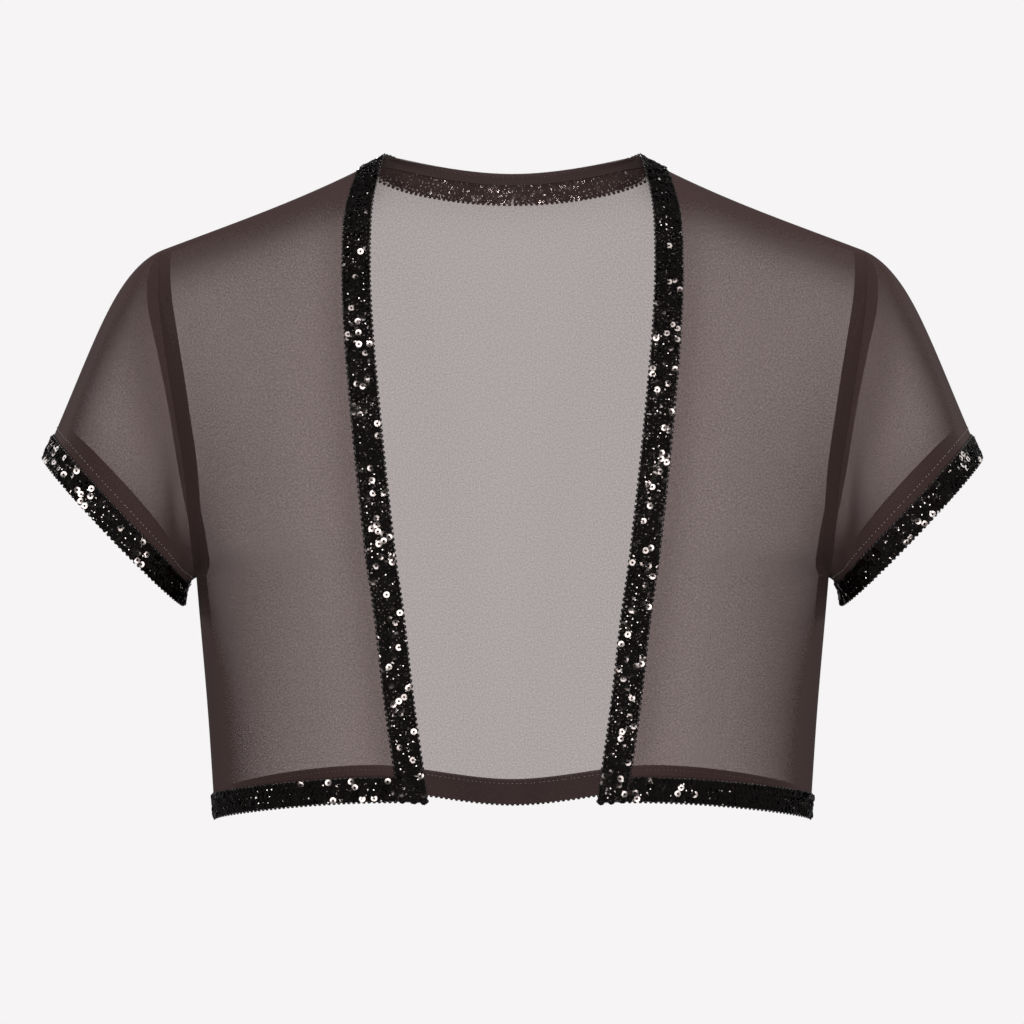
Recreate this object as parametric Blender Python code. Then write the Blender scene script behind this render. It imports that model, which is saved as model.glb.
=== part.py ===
"""Sheer open-front shrug top with sequin trim, filled out as if worn, with nobody in it.

The garment faces -Y, +Z is up and +X is the wearer's left. The origin lies midway between the two
points where the shoulder seams meet the neck, which is where the garment hangs from its wearer.
Every panel is a wall worked out from rows of sections. A trim, a seam turning or a folded edge is
made from the points of the panel that it lies on, moved out or in along the panel's normals.
Lengths are in millimetres until a mesh is made.
"""

import math
from typing import NamedTuple

import bmesh
import bpy
import numpy as np

MILLIMETRE = 0.001

# Cloth, trim and gaps
CLOTH = 1.0
TRIM_THICKNESS = 1.5
TURNING_THICKNESS = 1.0
GAP = 0.3
FACET_ROOM = 0.45

# Widths of the trims and of the cloth turned to the inside
FRONT_TRIM = 15.5
HEM_TRIM = 13.2
CUFF_TRIM = 14.0
HEM_FOLD = 10.5
CUFF_FOLD = 9.5
NECK_FOLD = 6.4
NECK_TRIM_DROP = 2.2
SHOULDER_TURNING = 5.2
SIDE_TURNING = 15.0
ARMHOLE_TURNING = 8.6
ARMHOLE_TURNING_TOP = 5.7

# Shoulder seam, from the shoulder point to the neck point
SHOULDER_POINT = (189.3, 0.0, -50.5)
NECK_POINT = (69.0, 0.0, 0.0)
SHOULDER_SLOPE_OUT = 0.38
SHOULDER_SLOPE_NECK = 0.54
BACK_NECK = (0.0, 47.0, -5.5)
NECK_RUN_BACK = 62.0
NECK_RUN_ACROSS = 100.0
NECK_COLUMN = 0.62

# Cuff ring: its topmost outer point, its lowest inner point and half its depth front to back
CUFF_OUTER = (252.7, 0.0, -163.0)
CUFF_INNER = (178.2, 0.0, -242.0)
CUFF_HALF_DEPTH = 50.0

# Mesh density
ACROSS_SPANS = 7
NECK_SPANS = 9
SIDE_SPANS = 5
ARMHOLE_SPANS = 13
SLEEVE_SPANS = 5
NECK_STRIP_SPANS = 14
TOP_CROWDING = 1.5
LINE_SAMPLES = 161
UNDERARM = 3
CORNER_REACH = 0.15


class Rounding(NamedTuple):
    """Shares of a span kept outwards, along the row and upwards."""

    outward: float
    along: float
    upward: float


UNDERARM_ROUNDING = Rounding(outward=0.8, along=1.7, upward=0.25)


class FrontRow(NamedTuple):
    """A row of the front from the side to the front edge. Turns are degrees from straight forward."""

    side_x: float
    side_y: float
    side_z: float
    side_turn: float
    side_pull: float
    edge_x: float
    edge_y: float
    edge_z: float
    edge_turn: float
    edge_pull: float
    edge_dip: float


class BackRow(NamedTuple):
    """A row of the back from the side, under the neck point, to the centre."""

    side_x: float
    side_y: float
    side_z: float
    side_turn: float
    side_pull: float
    neck_x: float
    neck_y: float
    neck_z: float
    centre_y: float
    centre_z: float


class SleeveRow(NamedTuple):
    """A line of the sleeve from armhole to cuff. Turn 0 is the top, 90 the front, 180 the underarm."""

    turn: float
    leave_x: float
    leave_y: float
    leave_z: float
    leave_pull: float
    arrive_drop: float
    arrive_pull: float


# Rows from the hem up; the fourth is at the underarm and the last is the shoulder seam
FRONT_ROWS = (
    FrontRow(160.5, 0.0, -357.5, 0, 104, 44.0, -80.0, -344.0, 92, 130, 24),
    FrontRow(164.4, 0.0, -299.0, 0, 106, 51.5, -83.0, -290.0, 92, 130, 0),
    FrontRow(169.3, 0.0, -242.0, 0, 108, 57.8, -86.0, -236.0, 92, 130, 0),
    FrontRow(170.6, 0.0, -226.8, 0, 108, 60.2, -87.0, -220.0, 92, 130, 0),
    FrontRow(171.6, -24.0, -211.0, 28, 100, 62.4, -88.0, -201.0, 91, 125, 0),
    FrontRow(174.5, -36.0, -171.0, 52, 102, 66.4, -87.0, -165.0, 88, 120, 0),
    FrontRow(180.0, -39.0, -135.0, 62, 106, 69.9, -83.0, -130.0, 86, 116, 0),
    FrontRow(185.3, -33.0, -103.0, 70, 110, 73.0, -73.0, -97.0, 82, 115, 0),
    FrontRow(189.2, -21.0, -77.0, 79, 114, 75.0, -56.0, -60.0, 80, 115, 0),
    FrontRow(190.0, -9.5, -60.0, 86, 118, 74.2, -32.0, -25.5, 84, 118, 0),
)
BACK_ROWS = (
    BackRow(160.5, 0.0, -357.5, 0, 90, 74.0, 66.0, -346.5, 70.0, -354.5),
    BackRow(164.4, 0.0, -299.0, 0, 92, 75.0, 68.5, -292.0, 72.5, -296.0),
    BackRow(169.3, 0.0, -242.0, 0, 94, 76.0, 71.0, -239.0, 75.0, -240.0),
    BackRow(170.6, 0.0, -226.8, 0, 94, 76.0, 71.7, -224.0, 75.8, -225.0),
    BackRow(174.2, 25.0, -211.0, 28, 88, 76.0, 73.2, -203.0, 77.2, -204.0),
    BackRow(182.5, 38.0, -171.0, 52, 92, 76.0, 75.0, -166.0, 78.6, -167.0),
    BackRow(188.4, 41.0, -135.0, 63, 102, 75.0, 73.6, -128.0, 77.0, -129.0),
    BackRow(194.3, 36.0, -103.0, 72, 112, 74.0, 66.5, -92.0, 71.8, -94.0),
    BackRow(198.6, 25.0, -78.0, 80, 120, 72.5, 52.0, -56.0, 63.5, -61.0),
    BackRow(196.8, 11.0, -60.5, 86, 126, 70.6, 26.0, -20.0, 54.0, -32.0),
)
SLEEVE_ROWS = (
    SleeveRow(0, 0.92, 0.0, -0.39, 84, 66, 200),
    SleeveRow(30, 0.80, -0.45, -0.40, 80, 62, 160),
    SleeveRow(60, 0.75, -0.50, -0.43, 60, 56, 105),
    SleeveRow(90, 0.72, -0.45, -0.53, 50, 52, 80),
    SleeveRow(120, 0.75, -0.32, -0.58, 38, 52, 55),
    SleeveRow(150, 0.85, -0.15, -0.50, 28, 62, 30),
    SleeveRow(180, 0.90, 0.0, -0.43, 24, 78, 14),
    SleeveRow(210, 0.85, 0.15, -0.50, 26, 62, 30),
    SleeveRow(240, 0.75, 0.32, -0.58, 34, 52, 52),
    SleeveRow(270, 0.72, 0.42, -0.55, 42, 52, 72),
    SleeveRow(300, 0.75, 0.45, -0.48, 52, 56, 95),
    SleeveRow(330, 0.80, 0.38, -0.45, 70, 62, 155),
)


def clear_scene():
    """Remove what a new file starts with."""
    for item in list(bpy.data.objects):
        bpy.data.objects.remove(item, do_unlink=True)


def unit(vectors):
    """Vectors at length 1."""
    lengths = np.linalg.norm(vectors, axis=-1, keepdims=True)
    return vectors / np.maximum(lengths, 1e-9)


def soft_step(value):
    """0 below 0, 1 above 1 and a smooth rise between."""
    clipped = np.clip(value, 0.0, 1.0)
    return clipped * clipped * (3.0 - 2.0 * clipped)


def hermite(start, leave, end, arrive, t):
    """Points of the cubic from start to end that leaves and arrives along two vectors."""
    t = np.asarray(t, dtype=float)[..., None]
    t2 = t * t
    t3 = t2 * t
    return (
        (2 * t3 - 3 * t2 + 1) * start
        + (t3 - 2 * t2 + t) * leave
        + (3 * t2 - 2 * t3) * end
        + (t3 - t2) * arrive
    )


def slopes_through(knots, points):
    """Slopes of a smooth curve through points, and the slopes of its straight spans."""
    steps = np.diff(knots).reshape((-1,) + (1,) * (points.ndim - 1))
    spans = np.diff(points, axis=0) / steps
    inner = (spans[:-1] * steps[1:] + spans[1:] * steps[:-1]) / (steps[1:] + steps[:-1])
    return np.concatenate((spans[:1], inner, spans[-1:])), spans


def shoulder_line(t):
    """The shoulder seam from the shoulder point (0) to the neck point (1)."""
    outer = np.array(SHOULDER_POINT)
    neck = np.array(NECK_POINT)
    run = outer[0] - neck[0]
    leave = np.array((-run, 0.0, SHOULDER_SLOPE_OUT * run))
    arrive = np.array((-run, 0.0, SHOULDER_SLOPE_NECK * run))
    return hermite(outer, leave, neck, arrive, t)


def neck_line(t):
    """The back neck edge from the neck point (0) to the centre back (1)."""
    leave = np.array((-0.1, 1.0, 0.15)) * NECK_RUN_BACK
    arrive = np.array((-1.0, 0.0, 0.0)) * NECK_RUN_ACROSS
    return hermite(np.array(NECK_POINT), leave, np.array(BACK_NECK), arrive, t)


def turned(degrees, forward):
    """A level direction, turned from straight forward or straight back towards the centre."""
    angle = math.radians(degrees)
    return np.array((-math.sin(angle), forward * math.cos(angle), 0.0))


def row_knots():
    """Places of the rows between the hem (0) and the shoulder seam (1), by their spacing."""
    sides = [np.array(row[0:3]) for row in FRONT_ROWS] + [np.array(SHOULDER_POINT)]
    edges = [np.array(row[5:8]) for row in FRONT_ROWS] + [np.array(NECK_POINT)]
    steps = [
        np.linalg.norm(sides[i + 1] - sides[i]) + np.linalg.norm(edges[i + 1] - edges[i])
        for i in range(len(FRONT_ROWS))
    ]
    places = np.concatenate(((0.0,), np.cumsum(steps)))
    return places / places[-1]


KNOTS = row_knots()
UNDERARM_PLACE = float(KNOTS[UNDERARM])


class Panel:
    """Half of the body: the front, or the back up to its centre line.

    Place u runs from the side seam and armhole (0) to the front edge or centre back (1), and place
    v from the hem (0) to the shoulder seam and neck (1).
    """

    def __init__(self, is_front):
        self.is_front = is_front
        self.outward = -1.0 if is_front else 1.0

    def rows(self, u):
        """Points of every row at the places u."""
        curves = [self.front_row(row, u) if self.is_front else self.back_row(row, u)
                  for row in (FRONT_ROWS if self.is_front else BACK_ROWS)]
        curves.append(self.top_row(u))
        return np.stack(curves)

    @staticmethod
    def front_row(row, u):
        """One row of the front."""
        start = np.array(row[0:3])
        end = np.array(row[5:8])
        climb = np.array((0.0, 0.0, end[2] - start[2]))
        leave = turned(row.side_turn, -1.0) * row.side_pull + climb
        arrive = turned(row.edge_turn, -1.0) * row.edge_pull + climb
        arrive[2] -= row.edge_dip
        return hermite(start, leave, end, arrive, u)

    @staticmethod
    def back_row(row, u):
        """One row of the back, smooth through the column under the neck point."""
        side = np.array(row[0:3])
        neck = np.array(row[5:8])
        centre = np.array((0.0, row.centre_y, row.centre_z))
        wide = NECK_COLUMN
        narrow = 1.0 - NECK_COLUMN
        slope = ((neck - side) / wide * narrow + (centre - neck) / narrow * wide)
        leave = turned(row.side_turn, 1.0) * row.side_pull
        leave[2] = neck[2] - side[2]
        arrive = np.array((-row.neck_x, 0.0, 0.0))
        outer = hermite(side, leave, neck, slope * wide, u / wide)
        inner = hermite(neck, slope * narrow, centre, arrive, (u - wide) / narrow)
        return np.where((u < wide)[:, None], outer, inner)

    def top_row(self, u):
        """The shoulder seam, and on the back the neck edge beyond it."""
        if self.is_front:
            return shoulder_line(u)
        outer = shoulder_line(u / NECK_COLUMN)
        inner = neck_line((u - NECK_COLUMN) / (1.0 - NECK_COLUMN))
        return np.where((u < NECK_COLUMN)[:, None], outer, inner)

    def roll(self, u):
        """Direction in which the panel reaches its top edge: level over the shoulder, up at the neck."""
        level = np.array((0.0, -self.outward, 0.0))
        if self.is_front:
            return np.broadcast_to(level, (len(u), 3))
        stand = np.array((0.0, -0.3, 0.95))
        share = soft_step((u - NECK_COLUMN) / (1.0 - NECK_COLUMN) * 1.3)[:, None]
        return unit(level * (1.0 - share) + stand * share)

    def at(self, u, v):
        """Points at the places u and v, which are arrays of one length."""
        u = np.asarray(u, dtype=float)
        v = np.asarray(v, dtype=float)
        rows = self.rows(u)
        slopes, spans = slopes_through(KNOTS, rows)
        top_reach = np.linalg.norm(spans[-1], axis=-1, keepdims=True)
        slopes[-1] = self.roll(u) * top_reach
        index = np.clip(np.searchsorted(KNOTS, v, side="right") - 1, 0, len(KNOTS) - 2)
        column = np.arange(len(u))
        leave = slopes[index, column]
        arrive = slopes[index + 1, column]
        corner = 1.0 - soft_step(u / CORNER_REACH)[:, None]
        above = (index == UNDERARM)[:, None]
        below = (index == UNDERARM - 1)[:, None]
        own_span = spans[index, column]
        rounded = self.rounded_span(u, own_span)
        leave = np.where(above, leave * (1 - corner) + rounded * corner, leave)
        arrive = np.where(below, arrive * (1 - corner) + own_span * corner, arrive)
        step = (KNOTS[index + 1] - KNOTS[index])[:, None]
        local = (v - KNOTS[index]) / step[:, 0]
        return hermite(rows[index, column], leave * step, rows[index + 1, column], arrive * step, local)

    def rounded_span(self, u, span):
        """How a panel leaves the underarm: more along its row, less outwards and upwards."""
        nudge = 0.002
        ahead = self.rows(np.minimum(u + nudge, 1.0))[UNDERARM]
        level = np.array((1.0, 1.0, 0.0))
        along = unit((ahead - self.rows(np.maximum(u - nudge, 0.0))[UNDERARM]) * level)
        upward = span * np.array((0.0, 0.0, 1.0))
        forth = np.sum(span * along, axis=1, keepdims=True) * along
        outward = span - upward - forth
        return (
            outward * UNDERARM_ROUNDING.outward
            + forth * UNDERARM_ROUNDING.along
            + upward * UNDERARM_ROUNDING.upward
        )

    def normals(self, u, v):
        """Outward normals at the places u and v."""
        nudge = 0.004
        across = self.at(np.minimum(u + nudge, 1.0), v) - self.at(np.maximum(u - nudge, 0.0), v)
        upward = self.at(u, np.minimum(v + nudge, 1.0)) - self.at(u, np.maximum(v - nudge, 0.0))
        return unit(np.cross(across, upward) * self.outward)


FRONT = Panel(True)
BACK = Panel(False)


def lengths_along(points):
    """Length from the first point to each point of a line."""
    steps = np.linalg.norm(np.diff(points, axis=0), axis=1)
    return np.concatenate(((0.0,), np.cumsum(steps)))


def turning_width(v):
    """Width of the cloth turned in beside the side seam and armhole."""
    above = (v - UNDERARM_PLACE) / (1.0 - UNDERARM_PLACE)
    arm = ARMHOLE_TURNING + (ARMHOLE_TURNING_TOP - ARMHOLE_TURNING) * soft_step((above - 0.45) / 0.5)
    side_share = 1.0 - soft_step((above + 0.1) / 0.35)
    return arm * (1.0 - side_share) + SIDE_TURNING * side_share


class PanelLines:
    """Lines of a panel at set distances from its edges, as places u over v and v over u."""

    def __init__(self, panel):
        self.panel = panel
        self.inner_end = 1.0 if panel.is_front else NECK_COLUMN
        self.samples = np.linspace(0.0, 1.0, LINE_SAMPLES)
        columns = [self.column_places(u) for u in self.samples]
        self.fold, self.trim, self.shoulder = np.array(columns).T
        rows = [self.row_places(v) for v in self.samples]
        self.turning, self.border = np.array(rows).T

    def column_places(self, u):
        """Places v of the hem fold, the hem trim and the shoulder turning in one column."""
        climb = np.linspace(0.0, 0.12, LINE_SAMPLES)
        lengths = lengths_along(self.panel.at(np.full(LINE_SAMPLES, u), climb))
        fall = np.linspace(1.0, 0.85, LINE_SAMPLES)
        drops = lengths_along(self.panel.at(np.full(LINE_SAMPLES, u), fall))
        return (np.interp(HEM_FOLD, lengths, climb), np.interp(HEM_TRIM, lengths, climb),
                np.interp(SHOULDER_TURNING, drops, fall))

    def row_places(self, v):
        """Places u of the inner edge of the turned-in cloth and of the front trim in one row."""
        run = self.samples * self.inner_end
        lengths = lengths_along(self.panel.at(run, np.full(LINE_SAMPLES, v)))
        return (np.interp(turning_width(v), lengths, run),
                np.interp(lengths[-1] - FRONT_TRIM, lengths, run))

    def grid(self):
        """Places of the panel's grid: arrays of u and v, with a row for each height."""
        beyond = () if self.panel.is_front else np.linspace(NECK_COLUMN, 1.0, NECK_SPANS + 1)[1:]
        share = np.concatenate(((0.0,), np.linspace(0.0, 1.0, ACROSS_SPANS + 1), (1.0,)))
        u_rows = []
        v_rows = []
        for row in range(ROW_COUNT):
            u_line = np.concatenate((share * self.inner_end, beyond))
            for _ in range(3):
                v_line = self.height(row, u_line)
                start = np.interp(v_line[: len(share)], self.samples, self.turning)
                stop = np.interp(v_line[: len(share)], self.samples, self.border)
                u_line[: len(share)] = start + (stop - start) * share
                u_line[0] = 0.0
                u_line[len(share) - 1] = self.inner_end
            u_rows.append(u_line)
            v_rows.append(self.height(row, u_line))
        return np.array(u_rows), np.array(v_rows)

    def height(self, row, u_line):
        """Places v of one grid row over the places u."""
        trim = np.interp(u_line, self.samples, self.trim)
        if row == 0:
            return np.zeros(len(u_line))
        if row == 1:
            return np.interp(u_line, self.samples, self.fold)
        if row <= UNDERARM_ROW:
            return trim + (UNDERARM_PLACE - trim) * (row - 2) / SIDE_SPANS
        if row == ROW_COUNT - 1:
            return np.ones(len(u_line))
        left = (ROW_COUNT - 2 - row) / (ARMHOLE_SPANS - 1)
        shoulder = np.interp(u_line, self.samples, self.shoulder)
        return shoulder - (shoulder - UNDERARM_PLACE) * left ** TOP_CROWDING


UNDERARM_ROW = 2 + SIDE_SPANS
ROW_COUNT = UNDERARM_ROW + ARMHOLE_SPANS + 1
FRONT_LINES = PanelLines(FRONT)
BACK_LINES = PanelLines(BACK)


class Sleeve:
    """The wearer's left sleeve, from the armhole (0) to the cuff edge (1)."""

    def __init__(self):
        turns = [row.turn for row in SLEEVE_ROWS]
        count = len(turns)
        wrapped = [turns[i] - 360.0 for i in range(count - 2, count)]
        self.turns = np.array(wrapped + turns + [turns[0] + 360.0, turns[1] + 360.0])
        values = np.array([row[1:] for row in SLEEVE_ROWS], dtype=float)
        self.values = np.concatenate((values[-2:], values, values[:2]))

    def settings(self, turn):
        """The table's columns at any turn, smoothly between its rows."""
        slopes, _ = slopes_through(self.turns, self.values)
        index = np.clip(np.searchsorted(self.turns, turn, side="right") - 1, 1, len(self.turns) - 3)
        step = (self.turns[index + 1] - self.turns[index])[:, None]
        local = (turn - self.turns[index]) / step[:, 0]
        return hermite(self.values[index], slopes[index] * step,
                       self.values[index + 1], slopes[index + 1] * step, local)

    @staticmethod
    def armhole(turn):
        """Points of the armhole, read from the side edges of the front and the back."""
        front = turn <= 180.0
        share = np.where(front, turn / 180.0, (360.0 - turn) / 180.0)
        v = 1.0 - share * (1.0 - UNDERARM_PLACE)
        side = np.zeros(len(turn))
        return np.where(front[:, None], FRONT.at(side, v), BACK.at(side, v))

    @staticmethod
    def cuff(turn):
        """Points of the cuff edge, an ellipse across the arm."""
        outer = np.array(CUFF_OUTER)
        inner = np.array(CUFF_INNER)
        angle = np.radians(turn)[:, None]
        ahead = np.array((0.0, -CUFF_HALF_DEPTH, 0.0))
        return (outer + inner) / 2 + (outer - inner) / 2 * np.cos(angle) + ahead * np.sin(angle)

    def at(self, turn, t):
        """Points at turns in degrees and places t, arrays of one length."""
        turn = np.mod(np.asarray(turn, dtype=float), 360.0)
        columns = self.settings(turn)
        leave = unit(columns[:, 0:3]) * columns[:, 3:4]
        drop = np.radians(columns[:, 4])
        level = np.zeros(len(turn))
        arrive = np.stack((np.cos(drop), level, -np.sin(drop)), axis=1) * columns[:, 5:6]
        return hermite(self.armhole(turn), leave, self.cuff(turn), arrive, t)

    def normals(self, turn, t):
        """Outward normals at turns and places t."""
        nudge = 0.01
        around = self.at(turn + 1.0, t) - self.at(turn - 1.0, t)
        along = self.at(turn, np.minimum(t + nudge, 1.0)) - self.at(turn, np.maximum(t - nudge, 0.0))
        return unit(np.cross(around, along))

    def grid(self, front_places, back_places):
        """Turns and places of the sleeve's grid, with a row for each place along the arm.

        The turns follow the grid rows of the front and the back at the armhole.
        """
        whole = 1.0 - UNDERARM_PLACE
        ahead = 180.0 * (1.0 - front_places[UNDERARM_ROW:, 0]) / whole
        behind = 360.0 - 180.0 * (1.0 - back_places[UNDERARM_ROW:, 0]) / whole
        turns = np.concatenate((ahead[::-1], behind[1:-1]))
        run = np.linspace(0.0, 1.0, LINE_SAMPLES)
        trim = []
        fold = []
        for turn in turns:
            lengths = lengths_along(self.at(np.full(LINE_SAMPLES, turn), run))
            trim.append(np.interp(lengths[-1] - CUFF_TRIM, lengths, run))
            fold.append(np.interp(lengths[-1] - CUFF_FOLD, lengths, run))
        trim = np.array(trim)
        rows = [trim * share for share in np.linspace(0.0, 1.0, SLEEVE_SPANS + 1)]
        rows.append(np.array(fold))
        rows.append(np.ones(len(turns)))
        return np.tile(turns, (len(rows), 1)), np.array(rows)


SLEEVE = Sleeve()


class Sheet:
    """A grid of points with outward normals, from which walls are made."""

    def __init__(self, points, normals):
        self.points = points
        self.normals = normals

    def part(self, rows, columns):
        """The same points over some rows and columns."""
        return Sheet(self.points[rows, columns].copy(), self.normals[rows, columns].copy())

    def mirrored(self):
        """The sheet on the wearer's other side."""
        flip = np.array((-1.0, 1.0, 1.0))
        return Sheet(self.points * flip, self.normals * flip)

    def flipped_columns(self):
        """The sheet with its columns in reverse order."""
        return Sheet(self.points[:, ::-1].copy(), self.normals[:, ::-1].copy())

    def drawn_in(self, first_row=0.0, last_row=0.0, first_column=0.0, last_column=0.0):
        """The sheet with its border rows and columns moved inwards by some lengths."""
        points = self.points.copy()
        if first_row:
            points[0] += unit(points[1] - points[0]) * first_row
        if last_row:
            points[-1] += unit(points[-2] - points[-1]) * last_row
        if first_column:
            points[:, 0] += unit(points[:, 1] - points[:, 0]) * first_column
        if last_column:
            points[:, -1] += unit(points[:, -2] - points[:, -1]) * last_column
        return Sheet(points, self.normals)


def joined_columns(*sheets):
    """Sheets side by side, sharing the columns where they meet."""
    points = [sheets[0].points] + [sheet.points[:, 1:] for sheet in sheets[1:]]
    normals = [sheets[0].normals] + [sheet.normals[:, 1:] for sheet in sheets[1:]]
    return Sheet(np.concatenate(points, axis=1), np.concatenate(normals, axis=1))


def joined_rows(*sheets):
    """Sheets end to end, sharing the rows where they meet."""
    points = [sheets[0].points] + [sheet.points[1:] for sheet in sheets[1:]]
    normals = [sheets[0].normals] + [sheet.normals[1:] for sheet in sheets[1:]]
    return Sheet(np.concatenate(points), np.concatenate(normals))


def panel_sheet(panel, places):
    """The points and normals of a panel over a grid of places."""
    u_rows, v_rows = places
    shape = u_rows.shape
    points = panel.at(u_rows.ravel(), v_rows.ravel()).reshape(shape + (3,))
    normals = panel.normals(u_rows.ravel(), v_rows.ravel()).reshape(shape + (3,))
    return Sheet(points, normals)


def share_armhole_normals(front, back, sleeve):
    """Give the three sheets one normal at each point of the armhole, so that their edges match."""
    count = ARMHOLE_SPANS
    for step in range(count + 1):
        row = -1 - step
        panel_normal = front.normals[row, 0]
        other_normal = back.normals[row, 0]
        if step in (0, count):
            mean = unit(panel_normal + other_normal + sleeve.normals[0, step])
            front.normals[row, 0] = mean
            back.normals[row, 0] = mean
            sleeve.normals[0, step] = mean
            continue
        mean = unit(panel_normal + sleeve.normals[0, step])
        front.normals[row, 0] = mean
        sleeve.normals[0, step] = mean
        mean = unit(other_normal + sleeve.normals[0, -step])
        back.normals[row, 0] = mean
        sleeve.normals[0, -step] = mean


def neck_search_places():
    """Places of a fine grid of the back near the neck."""
    u_steps, v_steps = np.meshgrid(np.linspace(0.3, 1.0, 141), np.linspace(0.8, 1.0, 101))
    return u_steps.ravel(), v_steps.ravel()


NECK_PLACES = neck_search_places()
NECK_POINTS = BACK.at(*NECK_PLACES)


def square_place(here, tangent, distance):
    """The place on the back at a distance from a point of the neck edge, square to the edge."""
    u = NECK_PLACES[0]
    v = NECK_PLACES[1]
    points = NECK_POINTS
    window = 0.006
    best = 0
    for _ in range(8):
        offsets = points - here
        miss = np.abs(offsets @ tangent) + np.abs(np.linalg.norm(offsets, axis=1) - distance)
        best = int(np.argmin(miss))
        steps = np.linspace(-window, window, 7)
        u_steps, v_steps = np.meshgrid(u[best] + steps, v[best] + steps / 2)
        u = np.clip(u_steps.ravel(), 0.0, 1.0)
        v = np.clip(v_steps.ravel(), 0.0, 1.0)
        points = BACK.at(u, v)
        window *= 0.55
    offsets = points - here
    miss = np.abs(offsets @ tangent) + np.abs(np.linalg.norm(offsets, axis=1) - distance)
    best = int(np.argmin(miss))
    return u[best], v[best]


def neck_strip(drop, width, first=0.0, last=1.0):
    """A strip of the back along the neck edge, with a row for each step from the shoulder seam.

    Its first column lies the drop below the edge, reached softly from the shoulder seam, and its
    second column lies a width further down.
    """
    points = []
    normals = []
    for share in np.linspace(first, last, NECK_STRIP_SPANS + 1):
        here = neck_line(np.array((share,)))[0]
        ahead = neck_line(np.array((min(share + 0.01, 1.0),)))[0]
        behind = neck_line(np.array((max(share - 0.01, 0.0),)))[0]
        tangent = unit(ahead - behind)
        near = drop * float(soft_step(np.array(share * 2.0)))
        edge_place = (NECK_COLUMN + (1.0 - NECK_COLUMN) * share, 1.0)
        places = [edge_place if near < 0.05 else square_place(here, tangent, near),
                  square_place(here, tangent, near + width)]
        u_pair, v_pair = np.array(places).T
        points.append(BACK.at(u_pair, v_pair))
        normals.append(BACK.normals(u_pair, v_pair))
    return Sheet(np.array(points), np.array(normals))


def material(name, colour, roughness):
    """A plain finish in the colour of the cloth or trim."""
    finish = bpy.data.materials.new(name)
    finish.use_nodes = True
    shader = finish.node_tree.nodes["Principled BSDF"]
    shader.inputs["Base Color"].default_value = (*colour, 1.0)
    shader.inputs["Roughness"].default_value = roughness
    shader.inputs["Metallic"].default_value = 0.0
    finish.diffuse_color = (*colour, 1.0)
    return finish


def wall(name, sheet, low, high, finish, closed=False):
    """A closed wall between two distances out from a sheet, joined round when closed.

    The distances are single numbers or arrays with one value for each row of the sheet. Each square
    is split along the sheet's own shorter diagonal, so walls on the same points never cross.
    """
    rows, columns = sheet.points.shape[:2]
    low = np.broadcast_to(np.reshape(low, (-1, 1, 1)), (rows, 1, 1))
    high = np.broadcast_to(np.reshape(high, (-1, 1, 1)), (rows, 1, 1))
    shape = bmesh.new()
    layers = []
    for distance in (low, high):
        points = (sheet.points + sheet.normals * distance) * MILLIMETRE
        layers.append([[shape.verts.new(point) for point in line] for line in points])
    spans = columns if closed else columns - 1
    for row in range(rows - 1):
        for column in range(spans):
            following = (column + 1) % columns
            corners = ((row, column), (row, following), (row + 1, following), (row + 1, column))
            first, second, third, fourth = (sheet.points[corner] for corner in corners)
            shift = int(np.linalg.norm(first - third) > np.linalg.norm(second - fourth))
            order = corners[shift:] + corners[:shift]
            for layer in layers:
                a, b, c, d = (layer[line][place] for line, place in order)
                shape.faces.new((a, b, c))
                shape.faces.new((a, c, d))
    inside, outside = layers
    for row in (0, rows - 1):
        for column in range(spans):
            following = (column + 1) % columns
            shape.faces.new((inside[row][column], inside[row][following],
                             outside[row][following], outside[row][column]))
    if not closed:
        for column in (0, columns - 1):
            for row in range(rows - 1):
                shape.faces.new((inside[row][column], inside[row + 1][column],
                                 outside[row + 1][column], outside[row][column]))
    bmesh.ops.recalc_face_normals(shape, faces=shape.faces)
    mesh = bpy.data.meshes.new(name)
    shape.to_mesh(mesh)
    shape.free()
    mesh.materials.append(finish)
    mesh.shade_smooth()
    mesh.set_sharp_from_angle(angle=math.radians(40.0))
    piece = bpy.data.objects.new(name, mesh)
    bpy.context.scene.collection.objects.link(piece)
    return piece


def build_cloth(front, back, sleeve, finish):
    """The five pieces cut from mesh: back, two fronts and two sleeves."""
    half = CLOTH / 2
    seam = GAP / 2
    half_back = back.drawn_in(last_row=seam, first_column=seam)
    other_half = half_back.mirrored().flipped_columns()
    wall("back", joined_columns(half_back, other_half), -half, half, finish)
    for side, front_sheet, sleeve_sheet in (("left", front, sleeve),
                                            ("right", front.mirrored(), sleeve.mirrored())):
        wall(f"front_{side}", front_sheet.drawn_in(last_row=seam, first_column=seam),
             -half, half, finish)
        wall(f"sleeve_{side}", sleeve_sheet.drawn_in(first_row=seam), -half, half, finish, closed=True)


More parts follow.
